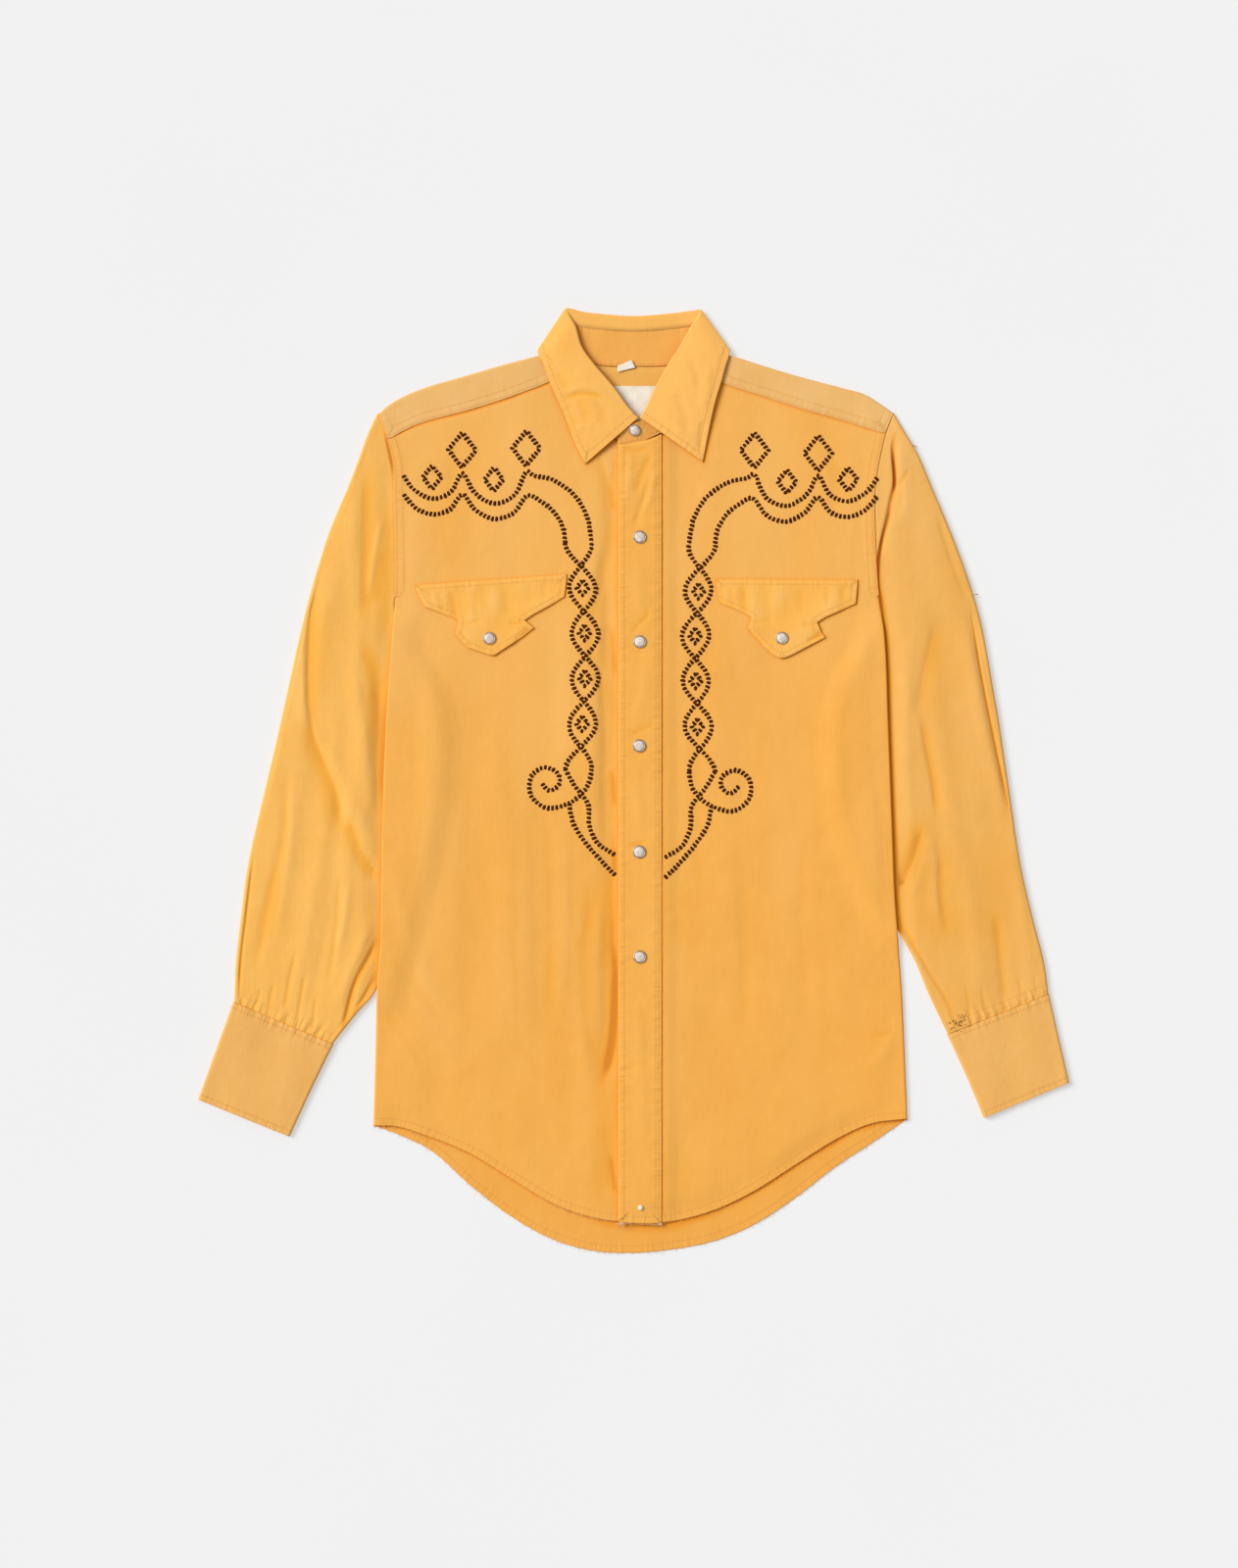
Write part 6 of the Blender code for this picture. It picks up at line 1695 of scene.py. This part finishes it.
def overlain(name, covers):
    """Painted shadow beside the edge of a layer above: a dark orange line at the edge and a softer orange shade that
    falls away from the light.
    """
    mesh = SHEETS[name][0].data
    co = np.empty(len(mesh.vertices) * 3)
    mesh.vertices.foreach_get("co", co)
    places = co.reshape(-1, 3)[:, :2] / MM
    best, line_w, soft = np.full(len(places), 100.0), np.zeros(len(places)), np.zeros(len(places))
    for outline, inside, line_at, soft_at, reach_at in covers:
        lo, hi = outline.min(0) - 16.0, outline.max(0) + 16.0
        pick = np.nonzero((places > lo).all(1) & (places < hi).all(1))[0]
        if not len(pick):
            continue
        q = places[pick]
        d, foot = nearest(q, outline)
        hid = inside(q)
        way = (q - foot) / np.maximum(d, 1e-6)[:, None] * np.where(hid, -1.0, 1.0)[:, None]
        facing = 0.32 + 0.68 * np.clip(way @ FALL, 0.0, 1.0)
        signed = np.where(hid, -d, d)
        reach = reach_at(foot[:, 0])
        amount = soft_at(foot[:, 0]) * facing * np.clip(1.0 - np.maximum(signed, 0.0) / reach, 0.0, 1.0) * (d < 8.0 + reach)
        soft[pick] = np.maximum(soft[pick], amount)
        closer = signed < best[pick]
        best[pick] = np.where(closer, signed, best[pick])
        line_w[pick] = np.where(closer, line_at(foot[:, 0]) * facing, line_w[pick])
    for key, values in (("shade_d", best), ("shade_w", np.clip(line_w, 0, 1)), ("shade_s", np.clip(soft, 0, 1))):
        mesh.attributes[key].data.foreach_set("value", values.astype(np.float32))


def ring_of(name, first=0, last=-1):
    P = SHEETS[name][1][:, :, :2]
    return np.concatenate([P[:, first], P[::-1, last], P[:1, first]])


def ring_round(name):
    P = SHEETS[name][1][:, :, :2]
    return np.concatenate([P[0], P[1:, -1], P[-1, ::-1], P[::-1, 0]])


def steady(v):
    return lambda x: v + 0.0 * x


leaf_ring = ring_of("collar_leaf", 9, -1)
leaf_cover = (leaf_ring, lambda q: within(q, leaf_ring), steady(0.9), steady(0.75), steady(6.5))
crest = SHEETS["collar_leaf"][1][:, 9, :2]
crest = crest[(crest[:, 0] < -8.0) & (crest[:, 1] < 404.0)]
neck_cover = (crest, lambda q: np.zeros(len(q), bool), steady(0.8), steady(0.7), steady(6.0))
band_ring = ring_round("placket")
band_cover = (band_ring, lambda q: within(q, band_ring), lambda x: 0.9 - 0.45 * ease(8.0, 20.0, x), steady(0.25), steady(3.0))
flap_covers = []
for name in ("flap_left", "flap_right"):
    ring = ring_round(name)
    flap_covers.append((ring, lambda q, ring=ring: within(q, ring), steady(0.45), steady(0.6), steady(5.0)))
hem_x = np.linspace(-226.0, 237.0, 220)
hem_line = np.stack([hem_x, along(HEM, hem_x, 1)], 1)
hem_cover = (hem_line, lambda q: q[:, 1] > along(HEM, q[:, 0], 1), steady(1.6),
             lambda x: 1.0 + 0.9 * ease(-50.0, -20.0, x), lambda x: 5.0 + 5.0 * ease(-50.0, -25.0, x) * ease(62.0, 32.0, x))
seam_x = np.concatenate([np.linspace(-212.0, -62.6, 60), np.linspace(63.0, 216.0, 60)])
seam_line = np.stack([seam_x, along(SHOULDER, seam_x, 2)], 1)
yoke_cover = (seam_line, lambda q: q[:, 1] > along(SHOULDER, q[:, 0], 2), steady(0.9), steady(0.35), steady(3.0))
overlain("front_left", [leaf_cover, band_cover, flap_covers[0], yoke_cover])
overlain("front_right", [leaf_cover, band_cover, flap_covers[1], yoke_cover])
overlain("placket", [leaf_cover])
# the fold of the sleeve beside the right armhole, with the strength of its painted shade at each place
CREVICE = np.array((
    (225.3, 301.0, 0.0), (223.9, 287.0, 0.5), (224.4, 276.7, 0.9), (225.4, 263.9, 1.0), (225.3, 254.5, 1.0),
    (224.2, 249.0, 0.45), (221.9, 239.3, 0.3), (220.2, 229.1, 0.7), (217.2, 218.0, 0.75), (214.6, 208.7, 0.85),
    (212.1, 195.1, 0.95), (211.3, 183.2, 1.0), (211.4, 170.4, 1.0), (212.7, 159.4, 0.95), (214.4, 147.5, 0.8),
    (216.0, 132.2, 0.7), (217.8, 112.0, 0.6), (219.2, 90.0, 0.45), (220.8, 50.0, 0.25), (222.4, 16.0, 0.0),
))


def beside_edge(name, edge_at, s, y0, y1, *amounts):
    y = np.linspace(y0, y1, 200)
    line = np.stack([edge_at(y), y], 1)
    return (line, lambda q: s * (q[:, 0] - edge_at(q[:, 1])) > 0, *[steady(v) for v in amounts])


def crevice(name, path):
    """Painted shade along a deep fold: sharp where the fold lies over, softer on its other side."""
    mesh = SHEETS[name][0].data
    co = np.empty(len(mesh.vertices) * 3)
    mesh.vertices.foreach_get("co", co)
    q = co.reshape(-1, 3)[:, :2] / MM
    y = np.linspace(path[0, 1], path[-1, 1], 160)
    line = np.stack([along(path[:, (1, 0)][::-1], y, 1), y], 1)
    d, foot = nearest(q, line)
    d = np.where(q[:, 0] < foot[:, 0], -d, d)
    depth = np.interp(foot[:, 1], path[::-1, 1], path[::-1, 2])
    dark = depth * ease(-1.8, -0.5, d) * ease(3.4, 0.4, d)
    mesh.attributes["pit"].data.foreach_set("value", np.clip(dark, 0, 1).astype(np.float32))
    return line


crevice("sleeve_left", np.array((
    (-216.4, 301.0, 0.0), (-214.8, 294.0, 0.4), (-212.8, 285.0, 0.5), (-210.9, 276.0, 0.5), (-209.4, 268.0, 0.35),
    (-208.6, 258.0, 0.1), (-208.2, 250.0, 0.0))))
fold_line = crevice("sleeve_right", CREVICE)
overlain("sleeve_left", [beside_edge("sleeve_left", left_edge, 1.0, -296.0, 40.0, 1.0, 0.85, 4.5),
                         beside_edge("sleeve_left", left_edge, 1.0, 40.0, 300.0, 0.3, 0.4, 10.0)])
overlain("sleeve_right", [beside_edge("sleeve_right", right_edge, -1.0, -296.0, 192.0, 1.0, 0.9, 5.5),
                          (fold_line[fold_line[:, 1] > 150.0], lambda q: np.zeros(len(q), bool),
                           steady(0.0), steady(0.5), steady(5.0))])
overlain("collar_stand", [neck_cover])
overlain("yoke", [neck_cover])
overlain("back", [hem_cover])

# ------------------------------------------------------------------ label and tab
ys = np.array([341.0, 340.4, 333.0, 325.0, 317.0, 309.6, 309.0])
xs = np.concatenate([[-20.0, -19.4], np.linspace(-17.0, 17.6, 22), [20.0, 20.6]])
X, Y = np.meshgrid(xs, ys)
P = np.stack([X, Y, back_z(X, Y) + 1.3 + 0.25 * np.sin(X / 6.0) * ease(309.0, 335.0, Y)], -1)
cloth("label", P, M["tape"], wall=0.5, replaces="label", slot="tape")
P = []
for t in (0.0, 0.1, 0.3, 0.5, 0.7, 0.9, 1.0):
    a = Vector((-14.0, 358.4, 0)).lerp(Vector((-14.0, 353.2, 0)), t)
    b = Vector((-1.6, 363.6, 0)).lerp(Vector((1.4, 357.0, 0)), t)
    P.append([(*a.lerp(b, u).xy, 3.6 + 0.35 * math.sin(u * 3.1) * (1 - t)) for u in (0.0, 0.05, 0.2, 0.4, 0.6, 0.8, 0.95, 1.0)])
cloth("size_tab", P, M["tape"], wall=0.5, replaces="size_tab", slot="tape")

# ------------------------------------------------------------------ snap caps
Ring = namedtuple("Ring", "radius height")
RIM = (Ring(1.00, 0.00), Ring(1.00, 0.50), Ring(0.985, 0.85), Ring(0.945, 1.12), Ring(0.895, 1.24),
       Ring(0.845, 1.20), Ring(0.81, 1.05), Ring(0.80, 0.85), Ring(0.80, 0.00))
CAP = (Ring(0.0, 0.00), Ring(0.765, 0.00), Ring(0.768, 0.80), Ring(0.755, 1.02), Ring(0.70, 1.25),
       Ring(0.58, 1.50), Ring(0.42, 1.68), Ring(0.22, 1.80), Ring(0.0, 1.85))


def turned(name, profile, radius, place, material, slot, node, ring, sides=48):
    pts, faces = [], []
    start = 0
    rows = []
    for p in profile:
        if p.radius == 0.0:
            rows.append([len(pts)])
            pts.append(place @ Vector((0, 0, p.height * MM)))
        else:
            rows.append(list(range(len(pts), len(pts) + sides)))
            for j in range(sides):
                a = math.tau * j / sides
                pts.append(place @ Vector((p.radius * radius * math.cos(a) * MM,
                                           p.radius * radius * math.sin(a) * MM, p.height * MM)))
    pairs = list(zip(rows, rows[1:])) + ([(rows[-1], rows[0])] if ring else [])
    for a, b in pairs:
        for j in range(sides):
            k = (j + 1) % sides
            if len(a) == 1:
                faces.append((a[0], b[k], b[j]))
            elif len(b) == 1:
                faces.append((a[j], a[k], b[0]))
            else:
                faces.append((a[j], a[k], b[k], b[j]))
    mesh = bpy.data.meshes.new(name)
    mesh.from_pydata([tuple(p) for p in pts], [], faces)
    mesh.polygons.foreach_set("use_smooth", np.ones(len(mesh.polygons), bool))
    mesh.update()
    ob = link(bpy.data.objects.new(name, mesh), material, slot)
    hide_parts(node)
    return ob


def snap(tag, at, radius, normal=Vector((0, 0, 1))):
    z = normal.normalized()
    spin = Vector((0, 0, 1)).rotation_difference(z).to_matrix().to_4x4()
    base = Vector(at) + z * (CLOTH / 2 + 0.12)
    place = Matrix.Translation(base * MM) @ spin
    turned("snap_rim_" + tag, RIM, radius, place, M["metal"], "snap_metal", "ring_" + tag, True)
    turned("snap_pearl_" + tag, CAP, radius, place, M["pearl"], "pearl", "pearl_" + tag, False)


SNAP_RADIUS = 5.65
BAND_SNAPS = (("1", 5.1, 210.0), ("2", 5.1, 119.4), ("3", 4.7, 29.3), ("4", 4.7, -62.5), ("5", 5.1, -153.4))


def band_z(x, y):
    return float(front_z(x, y)) + LAYER * float(ease(40.0, 27.0, x)) + LAYER


for tag, x, y in BAND_SNAPS:
    snap(tag, (x, y, max(band_z(x + a, y + b) for a in (-5, 0, 5) for b in (-5, 0, 5))), SNAP_RADIUS)
for tag, where, lx, down in (("flap_left", FLAP_AT_LEFT, -4.8, 50.8), ("flap_right", FLAP_AT_RIGHT, -3.9, 50.9)):
    p = flap_z(where, lx, down)
    z = max(flap_z(where, lx + a, down + b)[2] for a in (-5, 0, 5) for b in (-5, 0, 5))
    snap(tag, (p[0], p[1], z), SNAP_RADIUS - 0.15)
stand_low, stand_high = Vector((0.5, 291.0, 5.05)), Vector((0.9, 310.0, 7.95))
slope = (stand_high - stand_low).normalized()
snap("collar", tuple(stand_low.lerp(stand_high, 0.6) + Vector((0, 0, 0.25))), 5.0, Vector((0, -slope.z, slope.y)))
TACK = (Ring(0.0, 0.0), Ring(0.85, 0.0), Ring(0.98, 0.2), Ring(1.0, 0.4), Ring(0.9, 0.75), Ring(0.7, 0.98),
        Ring(0.4, 1.14), Ring(0.0, 1.2))
tack_at = Vector((5.7, -370.5, band_z(5.7, -370.5) + CLOTH / 2 + 0.15))
turned("hem_tack_knot", TACK, 2.3, Matrix.Translation(tack_at * MM), M["tape"], "tape", "hem_tack", False, 28)

# ------------------------------------------------------------------ topstitching
sewn = Beads(5)
STITCH = 2.6           # pitch
UP = np.array([0.0, 0.0, WALL / 2 + 0.10])


def topstitch(path, wall=WALL, pitch=STITCH):
    if len(path) < 3:
        return
    at, way = resample(path, pitch)
    sewn.add(at + np.array([0.0, 0.0, wall / 2 + 0.06]), way, pitch * 0.74, 0.62, 0.42)


for name in ("front_left", "front_right"):
    topstitch(contour(name, "hem", 6.0, "bottom"))
    for r in (1.7, 7.4):
        side = "left"
        _, P, kept = SHEETS[name]
        topstitch(contour(name, "seam", r, side, reach=24.0))
for r in (1.7, 7.4):
    topstitch(contour("yoke", "seam", r, "left", rows=(3, first_neck - 1), reach=20.0))
    topstitch(contour("yoke", "seam", r, "left", rows=(last_neck + 2, len(us) - 3), reach=20.0))
topstitch(contour("back", "hem", 6.0, "bottom"))
topstitch(contour("placket", "hem", 5.6, "left"))
topstitch(contour("placket", "hem", 5.6, "right"))
topstitch(contour("placket", "hem", 5.6, "bottom", reach=12.0))
topstitch(contour("collar_leaf", "hem", 5.2, "right", reach=9.0))
topstitch(contour("collar_leaf", "hem", 5.2, "top", reach=9.0))
topstitch(contour("collar_leaf", "hem", 5.2, "bottom", reach=9.0))
topstitch(contour("collar_stand", "hem", 1.7, "left", reach=4.0))
for name in ("flap_left", "flap_right"):
    topstitch(contour(name, "hem", 4.4, "top", reach=6.0))
    topstitch(contour(name, "hem", 4.4, "left", reach=14.0))
    topstitch(contour(name, "hem", 4.4, "right", reach=14.0))
for name in ("cuff_left", "cuff_right"):
    _, P, kept = SHEETS[name]
    for side in ("top", "bottom"):
        line = contour(name, "hem", 4.8, side)
        upper = line[line[:, 2] > 3.0]
        topstitch(upper, CUFF_CLOTH)
sewn.make("topstitching", M["thread"])

# ------------------------------------------------------------------ embroidery
# Generic scrollwork, drawn once for one side: distance from the band's middle, height.
BAND_MIDDLE = 5.55
SWAG_UPPER = ((205, 262), (196, 250), (180, 242), (164, 248), (154, 264), (144, 248), (127, 238), (109, 245),
              (99, 265), (92, 262), (75, 258), (57, 245), (46, 226), (42, 204))
SWAG_LOWER = ((205, 246), (194, 234), (180, 229), (165, 233), (154, 246), (143, 233), (127, 225), (110, 230),
              (98, 245), (86, 240), (74, 230), (67, 217), (65, 204))
BRAID_TOP, BRAID_END = 204.0, 8.0
LOWER_SCROLL = ((42, 8), (46, -8), (60, -21), (80, -26), (94, -16), (95, 0), (84, 9), (72, 5), (70, -5), (78, -11), (85, -5))
INNER_TAIL = ((65, 8), (57, -6), (45, -22), (44, -40), (37, -56), (22, -66))
LEAF_TAIL = ((62, -22), (58, -40), (46, -58), (30, -76), (22, -84))
DIAMONDS = ((154, 284, 12.0), (99, 286, 12.0), (180, 261, 8.0), (127, 259, 8.0))


def smooth_line(points, per=14):
    rows = [tuple(map(float, p)) for p in points]
    n = (len(rows) - 1) * per
    return np.array([station(rows, t * (len(rows) - 1)) for t in spaced(n)])


def braid(phase):
    y = np.linspace(BRAID_TOP, BRAID_END, 160)
    t = (BRAID_TOP - y) / (BRAID_TOP - BRAID_END)
    u = 53.5 + phase * 11.5 * np.cos(t * math.tau * 2.5)
    u = u - 6.0 * np.sin(t * math.pi)
    return np.stack([u, y], 1)


def diamond(u, y, r):
    pts = [(u, y + r * 1.25), (u + r, y), (u, y - r * 1.25), (u - r, y), (u, y + r * 1.25)]
    out = []
    for a, b in zip(pts, pts[1:]):
        out += [(mix(a[0], b[0], t), mix(a[1], b[1], t)) for t in spaced(6)[:-1]]
    return np.array(out + [pts[-1]])


LINES = [
    smooth_line(SWAG_UPPER), smooth_line(SWAG_LOWER), braid(-1.0), braid(1.0),
    smooth_line(LOWER_SCROLL), smooth_line(INNER_TAIL), smooth_line(LEAF_TAIL),
] + [diamond(*d) for d in DIAMONDS]
for t in (0.2, 0.4, 0.6, 0.8):
    y = mix(BRAID_TOP, BRAID_END, t)
    LINES.append(diamond(53.5 - 6.0 * math.sin(t * math.pi), y, 5.0))

dark, cream = Beads(6), Beads(6)
rng = np.random.default_rng(7)
for s, z_at in ((-1.0, face_z), (1.0, over_face_z)):
    for line in LINES:
        wob = rng.normal(0.0, 0.25, 2)
        x = BAND_MIDDLE + s * line[:, 0] + wob[0]
        y = line[:, 1] + wob[1] + (1.2 if s < 0 else -1.0)
        path = np.stack([x, y, z_at(x, y)], 1)
        at, way = resample(path, 1.82)
        at = at + np.array([0.0, 0.0, WALL / 2 + 0.25])
        side = np.stack([-way[:, 1], way[:, 0], np.zeros(len(way))], 1)
        bar = side + 0.16 * way
        bar /= np.linalg.norm(bar, axis=1, keepdims=True)
        jitter = rng.normal(0.0, 1.0, (len(at), 3))
        size = 4.6 + 0.35 * jitter[:, 0]
        at[:, :2] += 0.12 * jitter[:, 1:3]
        odd = np.arange(len(at)) % 2 == 1
        bar[:, 2] = 0.0
        dark.add(at[~odd], bar[~odd], size[~odd], 2.85, 1.05)
        cream.add(at[odd] - [0, 0, 0.1], bar[odd], size[odd] * 0.8, 1.1, 0.8)
dark.make("embroidery_dark", M["dark"])
cream.make("embroidery_cream", M["cream"])

# ------------------------------------------------------------------ frayed threads at the hems
fray = Beads(3, ((-1.0, 0.0), (0.0, 1.0), (1.0, 0.0)))


def fray_along(line, count, reach, seed, lift=0.0):
    r = np.random.default_rng(seed)
    line = line[~np.isnan(line[:, 0])]
    at, way = resample(line, 1.0)
    pick = r.integers(0, len(at), count)
    p, w = at[pick], way[pick]
    out = np.stack([w[:, 1], -w[:, 0], np.zeros(count)], 1)
    out[out[:, 1] > 0] *= -1
    lean = r.normal(0.0, 0.9, count)[:, None]
    d = out + w * lean
    d[:, 2] = r.normal(0.0, 0.10, count)
    d /= np.linalg.norm(d, axis=1, keepdims=True)
    size = reach * (0.35 + r.gamma(1.6, 0.4, count))
    p = p + d * (size * 0.42)[:, None]
    p[:, 2] = np.maximum(p[:, 2] + lift, 0.15)
    fray.add(p, d, size, 0.26 + 0.25 * lift, 0.22)


fray_along(SHEETS["front_left"][1][-1], 380, 1.7, 11)
fray_along(SHEETS["front_right"][1][-1], 320, 1.5, 12)
fray_along(SHEETS["placket"][1][-1], 120, 2.6, 13)
fray_along(SHEETS["back"][1][-1], 700, 1.9, 14)
fray.make("frayed_threads", M["fray"])
fray = Beads(3, ((-1.0, 0.0), (0.0, 1.0), (1.0, 0.0)))
bottom = SHEETS["placket"][1][-1]
edge = SHEETS["front_left"][1][-1]
edge = edge[~np.isnan(edge[:, 0])]
edge = edge[(edge[:, 0] > -84.0) & (edge[:, 0] < -18.0)]
fray_along(edge, 70, 1.0, 19, 0.25)
for line, count, reach, seed in ((bottom[:5], 28, 3.1, 15), (bottom[3:9], 8, 1.8, 17), (bottom[-4:], 20, 2.5, 16), (bottom, 30, 0.8, 18)):
    fray_along(line, count, reach, seed, 0.25)
fray.make("frayed_ends", M["pale"])

# ------------------------------------------------------------------ loose threads and a worn spot
nicks = Beads(5)
r = np.random.default_rng(21)


def upper_z(name, x, y):
    """Height of a sheet's upper cloth nearest to a place."""
    _, P, _ = SHEETS[name]
    Q = P.reshape(-1, 3)
    Q = Q[~np.isnan(Q[:, 0])]
    near = Q[np.hypot(Q[:, 0] - x, Q[:, 1] - y) < 3.0]
    return float(near[:, 2].max()) if len(near) else 4.0


for name, x, y, turn, length in (("sleeve_right", 243.5, 288.6, -0.5, 4.6), ("sleeve_right", 296.6, 160.4, 0.05, 4.4),
                                 ("front_right", 61.0, 163.2, 1.2, 3.4)):
    z = upper_z(name, x, y) + WALL / 2 + 0.15
    nicks.add(np.array([x, y, z]), np.array([math.cos(turn), math.sin(turn), 0.0]), length, 0.7, 0.4)
for _ in range(34):
    u, v = r.uniform(0.0, 1.0), r.normal(0.0, 1.0)
    x, y = 273.0 + 14.0 * u, -203.0 - 7.0 * (1 - u) + 3.2 * v - 4.0
    turn = r.uniform(0.0, math.tau)
    z = upper_z("sleeve_right", x, y) + WALL / 2 + 0.12
    nicks.add(np.array([x, y, z]), np.array([math.cos(turn), math.sin(turn), 0.0]), 1.6 + 1.6 * r.random(), 0.5, 0.3)
nicks.make("loose_threads", M["nick"])

# ------------------------------------------------------------------ a record for the size of a cut piece
Cut = namedtuple("Cut", "width length area")

# ------------------------------------------------------------------ floor, light, camera
mesh = bpy.data.meshes.new("floor")
mesh.from_pydata([(-4, -4, -0.0003), (4, -4, -0.0003), (4, 4, -0.0003), (-4, 4, -0.0003)], [], [(0, 1, 2, 3)])
floor = bpy.data.objects.new("floor", mesh)
bpy.context.scene.collection.objects.link(floor)
n = Nodes("paper_floor")
floor.data.materials.append(n.finish(n.blend(n.step(n.noise(3.0), 0.3, 0.7), (0.397, 0.397, 0.397), (0.403, 0.403, 0.403)),
                                     0.9, specular=0.05))
n.bsdf.inputs["Emission Color"].default_value = (1.0, 1.0, 1.0, 1.0)
n.bsdf.inputs["Emission Strength"].default_value = 0.441

world = bpy.data.worlds.new("studio")
world.use_nodes = True
world.node_tree.nodes["Background"].inputs["Color"].default_value = (1.0, 1.0, 1.0, 1.0)
world.node_tree.nodes["Background"].inputs["Strength"].default_value = 0.45
bpy.context.scene.world = world
sun = bpy.data.lights.new("key", "SUN")
sun.energy = 3.1
sun.angle = math.radians(32)
lamp = bpy.data.objects.new("key", sun)
lamp.rotation_mode = "QUATERNION"
toward = Vector((-0.90, 0.40, 0.88)).normalized()
lamp.rotation_quaternion = toward.to_track_quat("Z", "Y")
bpy.context.scene.collection.objects.link(lamp)

camera = bpy.data.cameras.new("camera")
camera.sensor_width = 36.0
DISTANCE = 3.2
camera.lens = 18.0 * DISTANCE / 0.680
camera.clip_start, camera.clip_end = 0.1, 20.0
eye = bpy.data.objects.new("camera", camera)
eye.location = (-0.01275, -0.0038, DISTANCE)
bpy.context.scene.collection.objects.link(eye)
bpy.context.scene.camera = eye

view = bpy.context.scene.view_settings
view.view_transform = "Standard"
view.look = "None"
view.exposure = 0.0
view.gamma = 1.0
